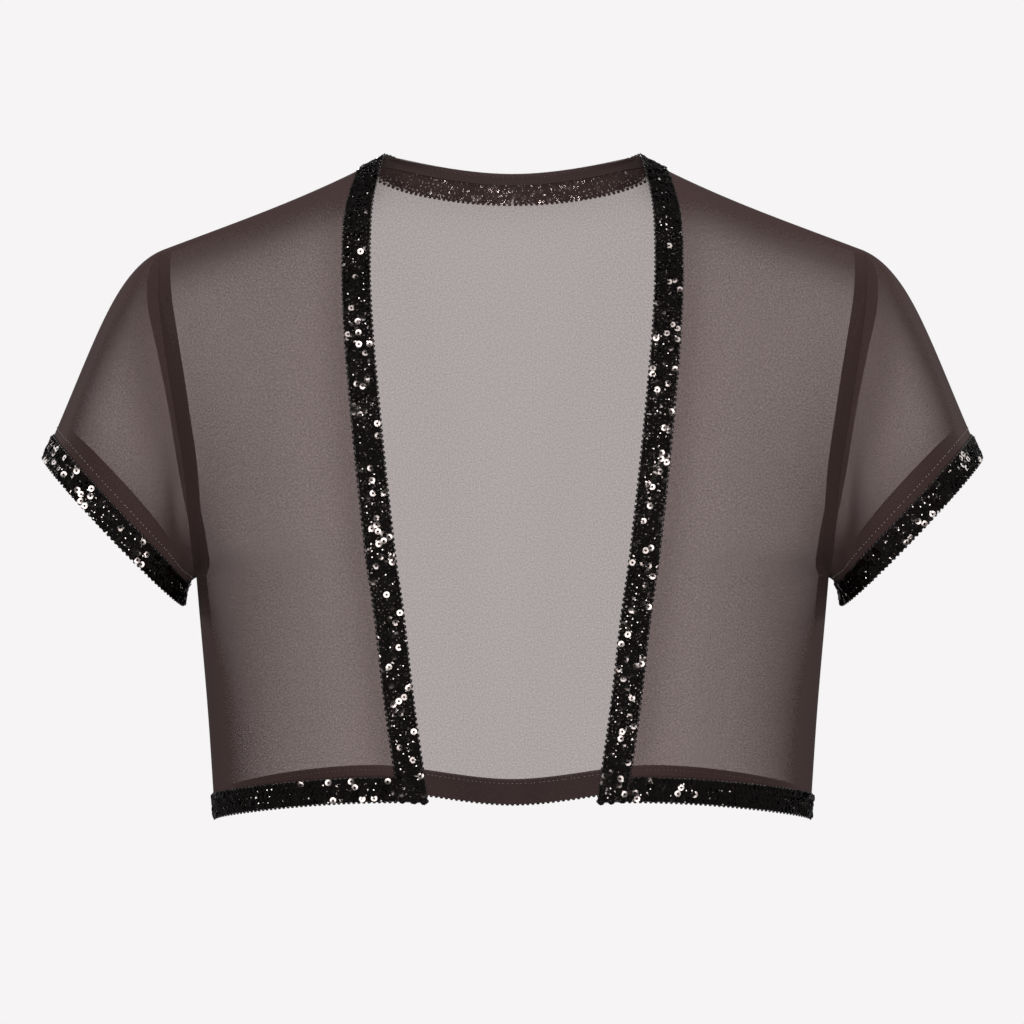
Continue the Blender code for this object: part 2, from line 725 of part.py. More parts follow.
def build_trims(front, back, sleeve, finish):
    """Sequin trim on the front edges and neck, the hem and the cuffs."""
    near = CLOTH / 2 + GAP
    far = near + TRIM_THICKNESS
    border = front.points.shape[1] - 2
    edge_strip = front.part(slice(None), slice(border, None)).flipped_columns()
    neck = neck_strip(NECK_TRIM_DROP, FRONT_TRIM)
    whole = joined_rows(edge_strip, neck).drawn_in(last_row=GAP / 2)
    lift = np.concatenate((np.zeros(len(edge_strip.points) - 4), (0.1, 0.25, 0.4, FACET_ROOM),
                           np.full(NECK_STRIP_SPANS, FACET_ROOM)))
    for side, sheet in (("left", whole), ("right", whole.mirrored())):
        wall(f"trim_front_neck_{side}", sheet, near + lift, far + lift, finish)
    low_front = front.part(slice(0, 3), slice(None, border + 1)).flipped_columns()
    low_back = back.part(slice(0, 3), slice(None))
    hem_half = joined_columns(low_front.drawn_in(first_column=GAP), low_back)
    hem = joined_columns(hem_half, hem_half.mirrored().flipped_columns())
    wall("trim_hem", hem, near, far, finish)
    cuff = sleeve.part(slice(SLEEVE_SPANS, None), slice(None))
    for side, sheet in (("left", cuff), ("right", cuff.mirrored())):
        wall(f"trim_cuff_{side}", sheet, near, far, finish, closed=True)


def build_turnings(front, back, sleeve, finish):
    """Cloth turned to the inside at the seams and behind the trims, which shows as dark bands."""
    near = -CLOTH / 2 - GAP
    far = near - TURNING_THICKNESS
    room = FACET_ROOM
    arm_front = front.part(slice(UNDERARM_ROW, None), slice(0, 2))
    arm_back = back.part(slice(UNDERARM_ROW, None), slice(0, 2))
    armhole = joined_rows(arm_front, reversed_rows(arm_back))
    armhole = armhole.drawn_in(first_row=GAP, last_row=GAP, first_column=GAP)
    side_front = front.part(slice(1, UNDERARM_ROW + 1), slice(0, 2)).flipped_columns()
    side_back = back.part(slice(1, UNDERARM_ROW + 1), slice(0, 2))
    side_seam = joined_columns(side_front, side_back).drawn_in(first_row=GAP, last_row=GAP)
    border = front.points.shape[1] - 2
    hem_front = front.part(slice(0, 2), slice(None)).flipped_columns()
    hem_half = joined_columns(hem_front, back.part(slice(0, 2), slice(None)))
    hem = joined_columns(hem_half, hem_half.mirrored().flipped_columns())
    wall("hem_fold", hem, far, near, finish)
    cuff = sleeve.part(slice(SLEEVE_SPANS + 1, None), slice(None))
    neck_half = neck_strip(0.0, NECK_FOLD, first=0.06)
    neck = joined_rows(neck_half, reversed_rows(neck_half.mirrored()))
    wall("neck_fold", neck, far - room, near - room, finish)
    over_front = front.part(slice(-2, None), slice(1, border + 1))
    over_back = reversed_rows(back.part(slice(-2, None), slice(1, border + 1)))
    shoulder = joined_rows(over_front, over_back).drawn_in(first_column=GAP)
    pieces = (("armhole_seam", armhole, False), ("side_seam", side_seam, False),
              ("cuff_fold", cuff, True), ("shoulder_seam", shoulder, False))
    for name, sheet, closed in pieces:
        for side, placed in (("left", sheet), ("right", sheet.mirrored())):
            wall(f"{name}_{side}", placed, far, near, finish, closed=closed)


def reversed_rows(sheet):
    """A sheet with its rows in reverse order."""
    return Sheet(sheet.points[::-1].copy(), sheet.normals[::-1].copy())


def build():
    """Model the whole garment."""
    clear_scene()
    cloth = material("sheer_mesh", (0.06, 0.045, 0.045), 0.75)
    turning = material("folded_mesh", (0.035, 0.025, 0.025), 0.8)
    sequins = material("sequin_trim", (0.012, 0.010, 0.010), 0.25)
    front_places = FRONT_LINES.grid()
    back_places = BACK_LINES.grid()
    front = panel_sheet(FRONT, front_places)
    back = panel_sheet(BACK, back_places)
    turns, places = SLEEVE.grid(front_places[1], back_places[1])
    shape = turns.shape + (3,)
    sleeve = Sheet(SLEEVE.at(turns.ravel(), places.ravel()).reshape(shape),
                   SLEEVE.normals(turns.ravel(), places.ravel()).reshape(shape))
    share_armhole_normals(front, back, sleeve)
    build_cloth(front, back, sleeve, cloth)
    build_trims(front, back, sleeve, sequins)
    build_turnings(front, back, sleeve, turning)


build()
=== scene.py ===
"""Looks of an open-front sheer mesh shrug edged with sequin trim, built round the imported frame.

The cloth panels, the cloth turned in at the seams, the net of the trims and everything sewn on it
are made here from the same rows of sections as the solids, at a finer step. The garment faces -Y,
+Z is up and +X is the wearer's left. Shapes are worked out in millimetres and made in metres.
"""

from __future__ import annotations

import logging
import math
from collections.abc import Callable
from dataclasses import dataclass, field
from enum import Enum
from typing import NamedTuple

import bmesh
import bpy
import numpy as np
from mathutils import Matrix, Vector


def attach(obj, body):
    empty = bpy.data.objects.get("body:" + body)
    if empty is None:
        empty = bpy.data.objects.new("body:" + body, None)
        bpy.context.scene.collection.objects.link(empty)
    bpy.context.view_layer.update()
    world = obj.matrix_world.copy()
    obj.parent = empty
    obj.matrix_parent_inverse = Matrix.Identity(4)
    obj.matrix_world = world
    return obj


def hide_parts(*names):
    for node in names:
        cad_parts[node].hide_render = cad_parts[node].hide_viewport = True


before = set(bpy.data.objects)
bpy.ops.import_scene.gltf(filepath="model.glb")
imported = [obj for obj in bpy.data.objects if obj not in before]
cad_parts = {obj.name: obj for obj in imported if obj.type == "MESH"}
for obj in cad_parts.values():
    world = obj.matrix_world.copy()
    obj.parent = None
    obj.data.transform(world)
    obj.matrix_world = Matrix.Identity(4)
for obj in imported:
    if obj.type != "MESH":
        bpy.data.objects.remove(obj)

LOG = logging.getLogger("sequin_top")
MILLIMETRE = 0.001
LEAST_LENGTH = 1e-9
Array = np.ndarray
Colour = tuple[float, float, float]


class FrontRow(NamedTuple):
    """A row of the front from the side to the front edge, in mm; turns in degrees from forward."""

    side_x: float
    side_y: float
    side_z: float
    side_turn: float
    side_pull: float
    edge_x: float
    edge_y: float
    edge_z: float
    edge_turn: float
    edge_pull: float
    edge_dip: float

    @property
    def side(self) -> Array:
        """The row's point at the side seam or the armhole."""
        return np.array((self.side_x, self.side_y, self.side_z))

    @property
    def edge(self) -> Array:
        """The row's point at the front edge."""
        return np.array((self.edge_x, self.edge_y, self.edge_z))


class BackRow(NamedTuple):
    """A row of the back from the side, under the neck point, to the centre, in mm."""

    side_x: float
    side_y: float
    side_z: float
    side_turn: float
    side_pull: float
    neck_x: float
    neck_y: float
    neck_z: float
    centre_y: float
    centre_z: float

    @property
    def side(self) -> Array:
        """The row's point at the side seam or the armhole."""
        return np.array((self.side_x, self.side_y, self.side_z))

    @property
    def neck(self) -> Array:
        """The row's point in the column under the neck point."""
        return np.array((self.neck_x, self.neck_y, self.neck_z))

    @property
    def centre(self) -> Array:
        """The row's point at the centre back."""
        return np.array((0.0, self.centre_y, self.centre_z))


class SleeveRow(NamedTuple):
    """A line of the sleeve from armhole to cuff: its turn, how it leaves and how it arrives."""

    turn: float
    leave_x: float
    leave_y: float
    leave_z: float
    leave_pull: float
    arrive_drop: float
    arrive_pull: float


# Sizes and tables


@dataclass(frozen=True)
class Cut:
    """Sizes of the garment that its pieces share, in millimetres, with its slopes and shares."""

    shoulder_point: tuple[float, float, float] = (189.3, 0.0, -50.5)
    neck_point: tuple[float, float, float] = (69.0, 0.0, 0.0)
    shoulder_slope_out: float = 0.38
    shoulder_slope_neck: float = 0.54
    back_neck: tuple[float, float, float] = (0.0, 47.0, -5.5)
    neck_leave: tuple[float, float, float] = (-0.1, 1.0, 0.15)
    neck_run_back: float = 62.0
    neck_run_across: float = 100.0
    neck_column: float = 0.62
    neck_stand: tuple[float, float, float] = (0.0, -0.3, 0.95)
    neck_stand_reach: float = 1.3
    cuff_outer: tuple[float, float, float] = (252.7, 0.0, -163.0)
    cuff_inner: tuple[float, float, float] = (178.2, 0.0, -242.0)
    cuff_half_depth: float = 50.0
    front_trim: float = 15.5
    hem_trim: float = 13.2
    cuff_trim: float = 14.0
    hem_fold: float = 10.5
    cuff_fold: float = 9.5
    cuff_turned: float = 21.0
    neck_fold: float = 6.4
    neck_trim_drop: float = 2.2
    neck_drop_reach: float = 0.5
    shoulder_turning: float = 5.2
    side_turning: float = 15.0
    armhole_turning: float = 8.6
    armhole_turning_top: float = 5.7
    armhole_taper: tuple[float, float] = (0.45, 0.5)
    side_taper: tuple[float, float] = (-0.1, 0.35)
    gap: float = 0.3
    cloth_thickness: float = 0.34
    underarm_rounding: tuple[float, float, float] = (0.8, 1.7, 0.25)
    corner_reach: float = 0.15


@dataclass(frozen=True)
class Density:
    """How finely the pieces are divided: spans, points of sampled lines and rounds of settling."""

    across: int = 34
    neck: int = 28
    low: int = 34
    armhole: int = 44
    sleeve: int = 26
    folded: int = 3
    cuff_rows: int = 6
    shoulder_points: int = 25
    samples: int = 161
    settling: int = 3
    top_crowding: float = 1.25


CUT = Cut()
DENSITY = Density()
UNDERARM = 3

# Rows from the hem up: the fourth is at the underarm, and the shoulder seam follows the last
FRONT_ROWS: tuple[FrontRow, ...] = (
    FrontRow(160.5, 0.0, -357.5, 0, 104, 44.0, -80.0, -344.0, 92, 130, 24),
    FrontRow(164.4, 0.0, -299.0, 0, 106, 51.5, -83.0, -290.0, 92, 130, 0),
    FrontRow(169.3, 0.0, -242.0, 0, 108, 57.8, -86.0, -236.0, 92, 130, 0),
    FrontRow(170.6, 0.0, -226.8, 0, 108, 60.2, -87.0, -220.0, 92, 130, 0),
    FrontRow(171.6, -24.0, -211.0, 28, 100, 62.4, -88.0, -201.0, 91, 125, 0),
    FrontRow(174.5, -36.0, -171.0, 52, 102, 66.4, -87.0, -165.0, 88, 120, 0),
    FrontRow(180.0, -39.0, -135.0, 62, 106, 69.9, -83.0, -130.0, 86, 116, 0),
    FrontRow(185.3, -33.0, -103.0, 70, 110, 73.0, -73.0, -97.0, 82, 115, 0),
    FrontRow(189.2, -21.0, -77.0, 79, 114, 75.0, -56.0, -60.0, 80, 115, 0),
    FrontRow(190.0, -9.5, -60.0, 86, 118, 74.2, -32.0, -25.5, 84, 118, 0),
)
BACK_ROWS: tuple[BackRow, ...] = (
    BackRow(160.5, 0.0, -357.5, 0, 90, 74.0, 66.0, -346.5, 70.0, -354.5),
    BackRow(164.4, 0.0, -299.0, 0, 92, 75.0, 68.5, -292.0, 72.5, -296.0),
    BackRow(169.3, 0.0, -242.0, 0, 94, 76.0, 71.0, -239.0, 75.0, -240.0),
    BackRow(170.6, 0.0, -226.8, 0, 94, 76.0, 71.7, -224.0, 75.8, -225.0),
    BackRow(174.2, 25.0, -211.0, 28, 88, 76.0, 73.2, -203.0, 77.2, -204.0),
    BackRow(182.5, 38.0, -171.0, 52, 92, 76.0, 75.0, -166.0, 78.6, -167.0),
    BackRow(188.4, 41.0, -135.0, 63, 102, 75.0, 73.6, -128.0, 77.0, -129.0),
    BackRow(194.3, 36.0, -103.0, 72, 112, 74.0, 66.5, -92.0, 71.8, -94.0),
    BackRow(198.6, 25.0, -78.0, 80, 120, 72.5, 52.0, -56.0, 63.5, -61.0),
    BackRow(196.8, 11.0, -60.5, 86, 126, 70.6, 26.0, -20.0, 54.0, -32.0),
)
SLEEVE_ROWS: tuple[SleeveRow, ...] = (
    SleeveRow(0, 0.92, 0.0, -0.39, 84, 66, 200),
    SleeveRow(30, 0.80, -0.45, -0.40, 80, 62, 160),
    SleeveRow(60, 0.75, -0.50, -0.43, 60, 56, 105),
    SleeveRow(90, 0.72, -0.45, -0.53, 50, 52, 80),
    SleeveRow(120, 0.75, -0.32, -0.58, 38, 52, 55),
    SleeveRow(150, 0.85, -0.15, -0.50, 28, 62, 30),
    SleeveRow(180, 0.90, 0.0, -0.43, 24, 78, 14),
    SleeveRow(210, 0.85, 0.15, -0.50, 26, 62, 30),
    SleeveRow(240, 0.75, 0.32, -0.58, 34, 52, 52),
    SleeveRow(270, 0.72, 0.42, -0.55, 42, 52, 72),
    SleeveRow(300, 0.75, 0.45, -0.48, 52, 56, 95),
    SleeveRow(330, 0.80, 0.38, -0.45, 70, 62, 155),
)


def unit(vectors: Array) -> Array:
    """Return vectors at length 1."""
    lengths = np.linalg.norm(vectors, axis=-1, keepdims=True)
    return vectors / np.maximum(lengths, LEAST_LENGTH)


def soft_step(value: Array | float) -> Array:
    """Return 0 below 0, 1 above 1 and a smooth rise between."""
    clipped = np.clip(value, 0.0, 1.0)
    return clipped * clipped * (3.0 - 2.0 * clipped)


def hermite(start: Array, leave: Array, end: Array, arrive: Array, t: Array | float) -> Array:
    """Return points of the cubic between two ends that leaves and arrives along two vectors.

    Args:
        start: first end, one point or one for each value of t.
        leave: slope at the first end.
        end: second end.
        arrive: slope at the second end.
        t: places along the curve, from 0 to 1.

    Returns:
        One point for each value of t.
    """
    t = np.asarray(t, dtype=float)[..., None]
    t2 = t * t
    t3 = t2 * t
    return (
        (2 * t3 - 3 * t2 + 1) * start
        + (t3 - 2 * t2 + t) * leave
        + (3 * t2 - 2 * t3) * end
        + (t3 - t2) * arrive
    )


def slopes_through(knots: Array, points: Array) -> tuple[Array, Array]:
    """Return slopes of a smooth curve through points at knots, and those of its straight spans."""
    steps = np.diff(knots).reshape((-1,) + (1,) * (points.ndim - 1))
    spans = np.diff(points, axis=0) / steps
    inner = (spans[:-1] * steps[1:] + spans[1:] * steps[:-1]) / (steps[1:] + steps[:-1])
    return np.concatenate((spans[:1], inner, spans[-1:])), spans


def lengths_along(points: Array) -> Array:
    """Return the length from the first point of a line to each of its points."""
    steps = np.linalg.norm(np.diff(points, axis=0), axis=1)
    return np.concatenate(((0.0,), np.cumsum(steps)))


def shoulder_line(t: Array) -> Array:
    """Return points of the shoulder seam from the shoulder point (0) to the neck point (1)."""
    outer = np.array(CUT.shoulder_point)
    neck = np.array(CUT.neck_point)
    run = outer[0] - neck[0]
    leave = np.array((-run, 0.0, CUT.shoulder_slope_out * run))
    arrive = np.array((-run, 0.0, CUT.shoulder_slope_neck * run))
    return hermite(outer, leave, neck, arrive, t)


def neck_line(t: Array) -> Array:
    """Return points of the back neck edge from the neck point (0) to the centre back (1)."""
    leave = np.array(CUT.neck_leave) * CUT.neck_run_back
    arrive = np.array((-1.0, 0.0, 0.0)) * CUT.neck_run_across
    return hermite(np.array(CUT.neck_point), leave, np.array(CUT.back_neck), arrive, t)


def turned(degrees: float, forward: float) -> Array:
    """Return a level direction turned from straight forward or back towards the centre."""
    angle = math.radians(degrees)
    return np.array((-math.sin(angle), forward * math.cos(angle), 0.0))


def row_knots() -> Array:
    """Return the places of the rows between hem (0) and shoulder seam (1), by their spacing."""
    sides = [row.side for row in FRONT_ROWS] + [np.array(CUT.shoulder_point)]
    edges = [row.edge for row in FRONT_ROWS] + [np.array(CUT.neck_point)]
    steps = [
        np.linalg.norm(sides[i + 1] - sides[i]) + np.linalg.norm(edges[i + 1] - edges[i])
        for i in range(len(FRONT_ROWS))
    ]
    places = np.concatenate(((0.0,), np.cumsum(steps)))
    return places / places[-1]


KNOTS = row_knots()
UNDERARM_PLACE = float(KNOTS[UNDERARM])


class Side(Enum):
    """A side of the wearer, as the sign of its X."""

    LEFT = 1
    RIGHT = -1

    @property
    def word(self) -> str:
        """The side's name in a piece's name."""
        return self.name.lower()


class Half(Enum):
    """Which half of the body a panel surface is, as the sign of its outward Y."""

    FRONT = -1
    BACK = 1


class BodySurface:
    """The form of half of the body: a front, or the back up to its centre line.

    Place u runs from the side seam and armhole (0) to the front edge or centre back (1), and place
    v from the hem (0) to the shoulder seam and neck (1).
    """

    def __init__(self, half: Half) -> None:
        """Set up one half of the body.

        Args:
            half: front or back.
        """
        self.is_front = half is Half.FRONT
        self.outward = float(half.value)
        self.inner_end = 1.0 if self.is_front else CUT.neck_column

    def rows(self, u: Array) -> Array:
        """Return the points of every row of sections at the places u."""
        if self.is_front:
            curves = [self.front_row(row, u) for row in FRONT_ROWS]
        else:
            curves = [self.back_row(row, u) for row in BACK_ROWS]
        curves.append(self.top_row(u))
        return np.stack(curves)

    @staticmethod
    def front_row(row: FrontRow, u: Array) -> Array:
        """Return points of one row of the front at the places u."""
        climb = np.array((0.0, 0.0, row.edge_z - row.side_z))
        leave = turned(row.side_turn, -1.0) * row.side_pull + climb
        arrive = turned(row.edge_turn, -1.0) * row.edge_pull + climb
        arrive[2] -= row.edge_dip
        return hermite(row.side, leave, row.edge, arrive, u)

    @staticmethod
    def back_row(row: BackRow, u: Array) -> Array:
        """Return points of one row of the back, smooth through the column under the neck point."""
        side, neck, centre = row.side, row.neck, row.centre
        wide = CUT.neck_column
        narrow = 1.0 - wide
        slope = (neck - side) / wide * narrow + (centre - neck) / narrow * wide
        leave = turned(row.side_turn, 1.0) * row.side_pull
        leave[2] = neck[2] - side[2]
        arrive = np.array((-row.neck_x, 0.0, 0.0))
        outer = hermite(side, leave, neck, slope * wide, u / wide)
        inner = hermite(neck, slope * narrow, centre, arrive, (u - wide) / narrow)
        return np.where((u < wide)[:, None], outer, inner)

    def top_row(self, u: Array) -> Array:
        """Return the shoulder seam, and on the back the neck edge beyond it."""
        if self.is_front:
            return shoulder_line(u)
        wide = CUT.neck_column
        outer = shoulder_line(u / wide)
        inner = neck_line((u - wide) / (1.0 - wide))
        return np.where((u < wide)[:, None], outer, inner)

    def roll(self, u: Array) -> Array:
        """Return how the panel reaches its top edge: level over the shoulder, up at the neck."""
        level = np.array((0.0, -self.outward, 0.0))
        if self.is_front:
            return np.broadcast_to(level, (len(u), 3))
        beyond = (u - CUT.neck_column) / (1.0 - CUT.neck_column)
        share = soft_step(beyond * CUT.neck_stand_reach)[:, None]
        return unit(level * (1.0 - share) + np.array(CUT.neck_stand) * share)

    def at(self, u: Array, v: Array) -> Array:
        """Return points at the places u and v.

        Args:
            u: places across, a flat array.
            v: places up, a flat array of the same length.

        Returns:
            One point for each pair.
        """
        u = np.asarray(u, dtype=float)
        v = np.asarray(v, dtype=float)
        rows = self.rows(u)
        slopes, spans = slopes_through(KNOTS, rows)
        slopes[-1] = self.roll(u) * np.linalg.norm(spans[-1], axis=-1, keepdims=True)
        index = np.clip(np.searchsorted(KNOTS, v, side="right") - 1, 0, len(KNOTS) - 2)
        column = np.arange(len(u))
        leave = slopes[index, column]
        arrive = slopes[index + 1, column]
        corner = 1.0 - soft_step(u / CUT.corner_reach)[:, None]
        above = (index == UNDERARM)[:, None]
        below = (index == UNDERARM - 1)[:, None]
        own_span = spans[index, column]
        rounded = self.rounded_span(u, own_span)
        leave = np.where(above, leave * (1 - corner) + rounded * corner, leave)
        arrive = np.where(below, arrive * (1 - corner) + own_span * corner, arrive)
        step = (KNOTS[index + 1] - KNOTS[index])[:, None]
        local = (v - KNOTS[index]) / step[:, 0]
        start, end = rows[index, column], rows[index + 1, column]
        return hermite(start, leave * step, end, arrive * step, local)

    def rounded_span(self, u: Array, span: Array) -> Array:
        """Return how a panel leaves the underarm: more along its row, less outwards and upwards."""
        nudge = 0.002
        ahead = self.rows(np.minimum(u + nudge, 1.0))[UNDERARM]
        level = np.array((1.0, 1.0, 0.0))
        along = unit((ahead - self.rows(np.maximum(u - nudge, 0.0))[UNDERARM]) * level)
        upward = span * np.array((0.0, 0.0, 1.0))
        forth = np.sum(span * along, axis=1, keepdims=True) * along
        outward_share, along_share, upward_share = CUT.underarm_rounding
        rest = span - upward - forth
        return rest * outward_share + forth * along_share + upward * upward_share

    def normals(self, u: Array, v: Array) -> Array:
        """Return outward normals at the places u and v."""
        nudge = 0.004
        across = self.at(np.minimum(u + nudge, 1.0), v) - self.at(np.maximum(u - nudge, 0.0), v)
        upward = self.at(u, np.minimum(v + nudge, 1.0)) - self.at(u, np.maximum(v - nudge, 0.0))
        return unit(np.cross(across, upward) * self.outward)


FRONT = BodySurface(Half.FRONT)
BACK = BodySurface(Half.BACK)


def turning_width(v: float) -> float:
    """Return the width of the cloth turned in beside the side seam and armhole at a height."""
    above = (v - UNDERARM_PLACE) / (1.0 - UNDERARM_PLACE)
    fall = CUT.armhole_turning_top - CUT.armhole_turning
    arm_start, arm_run = CUT.armhole_taper
    side_start, side_run = CUT.side_taper
    arm = CUT.armhole_turning + fall * soft_step((above - arm_start) / arm_run)
    side_share = 1.0 - soft_step((above - side_start) / side_run)
    return float(arm * (1.0 - side_share) + CUT.side_turning * side_share)


class BodyLines:
    """Lines of a body surface at set distances from its edges.

    The hem's lines are looked for below one height, and the shoulder's above another.
    """

    hem_search = 0.12
    shoulder_search = 0.85

    def __init__(self, surface: BodySurface) -> None:
        """Work out the lines.

        Args:
            surface: the front or the back.
        """
        self.surface = surface
        self.samples = np.linspace(0.0, 1.0, DENSITY.samples)
        columns = [self.column_places(u) for u in self.samples]
        self.fold, self.trim, self.shoulder = np.array(columns).T
        rows = [self.row_places(v) for v in self.samples]
        self.turning, self.border = np.array(rows).T

    def column_places(self, u: float) -> tuple[float, float, float]:
        """Return places v of the hem fold, hem trim and shoulder turning in one column."""
        count = DENSITY.samples
        climb = np.linspace(0.0, self.hem_search, count)
        lengths = lengths_along(self.surface.at(np.full(count, u), climb))
        fall = np.linspace(1.0, self.shoulder_search, count)
        drops = lengths_along(self.surface.at(np.full(count, u), fall))
        return (
            float(np.interp(CUT.hem_fold, lengths, climb)),
            float(np.interp(CUT.hem_trim, lengths, climb)),
            float(np.interp(CUT.shoulder_turning, drops, fall)),
        )

    def row_places(self, v: float) -> tuple[float, float]:
        """Return places u of the turned-in cloth's inner edge and of the front trim in one row."""
        run = self.samples * self.surface.inner_end
        lengths = lengths_along(self.surface.at(run, np.full(len(run), v)))
        return (
            float(np.interp(turning_width(v), lengths, run)),
            float(np.interp(lengths[-1] - CUT.front_trim, lengths, run)),
        )


def spread(*stretches: tuple[float, float, int]) -> Array:
    """Return places over stretches that follow each other, each start, end and spans."""
    parts = [np.linspace(start, end, spans + 1)[:-1] for start, end, spans in stretches]
    return np.concatenate(parts + [np.array((stretches[-1][1],))])


@dataclass(frozen=True)
class BodyGrid:
    """How a fine grid over a front or half of the back is divided.

    Columns: 0 to 1 over the turned-in cloth, 1 to 2 over the panel, 2 to 3 under the trim and 3 to 4
    along the back neck. Rows: 0 to 1 over the hem fold, 1 to 2 up to the hem trim, 2 to 3 up to the
    underarm, 3 to 4 up to the shoulder turning and 4 to 5 over it.
    """

    columns: Array
    rows: Array
    underarm_row: int
    trim_row: int
    shoulder_row: int
    turning_column: int
    border_column: int

    @staticmethod
    def planned(is_front: bool) -> "BodyGrid":
        """Return the grid of a front, or of half of the back."""
        fine = DENSITY
        stretches = [(0.0, 1.0, fine.folded), (1.0, 2.0, fine.across), (2.0, 3.0, fine.folded + 1)]
        if not is_front:
            stretches.append((3.0, 4.0, fine.neck))
        low = spread((0.0, 1.0, fine.folded), (1.0, 2.0, 1), (2.0, 3.0, fine.low))
        high = spread((0.0, 1.0, fine.armhole))[1:]
        high = 4.0 - (1.0 - high) ** fine.top_crowding
        over = spread((4.0, 5.0, 2))[1:]
        return BodyGrid(
            columns=spread(*stretches),
            rows=np.concatenate((low, high, over)),
            underarm_row=fine.folded + 1 + fine.low,
            trim_row=fine.folded + 1,
            shoulder_row=fine.folded + 1 + fine.low + fine.armhole,
            turning_column=fine.folded,
            border_column=fine.folded + fine.across,
        )

    def places(self, lines: BodyLines) -> tuple[Array, Array]:
        """Return arrays of u and v over the grid, with a row for each height."""
        end = lines.surface.inner_end
        inner = np.clip(self.columns - 3.0, 0.0, 1.0)
        u_rows = []
        v_rows = []
        for row in self.rows:
            u_line = np.clip(self.columns / 3.0, 0.0, 1.0) * end
            for _ in range(DENSITY.settling):
                v_line = self.height(row, u_line, lines)
                turning = np.interp(v_line, lines.samples, lines.turning)
                border = np.interp(v_line, lines.samples, lines.border)
                u_line = (
                    np.clip(self.columns, 0.0, 1.0) * turning
                    + np.clip(self.columns - 1.0, 0.0, 1.0) * (border - turning)
                    + np.clip(self.columns - 2.0, 0.0, 1.0) * (end - border)
                    + inner * (1.0 - end)
                )
            u_rows.append(u_line)
            v_rows.append(self.height(row, u_line, lines))
        return np.array(u_rows), np.array(v_rows)

    @staticmethod
    def height(row: float, u_line: Array, lines: BodyLines) -> Array:
        """Return the places v of one grid row over the places u."""
        fold = np.interp(u_line, lines.samples, lines.fold)
        trim = np.interp(u_line, lines.samples, lines.trim)
        shoulder = np.interp(u_line, lines.samples, lines.shoulder)
        shares = np.clip(row - np.arange(5.0), 0.0, 1.0)
        return (
            shares[0] * fold
            + shares[1] * (trim - fold)
            + shares[2] * (UNDERARM_PLACE - trim)
            + shares[3] * (shoulder - UNDERARM_PLACE)
            + shares[4] * (1.0 - shoulder)
        )


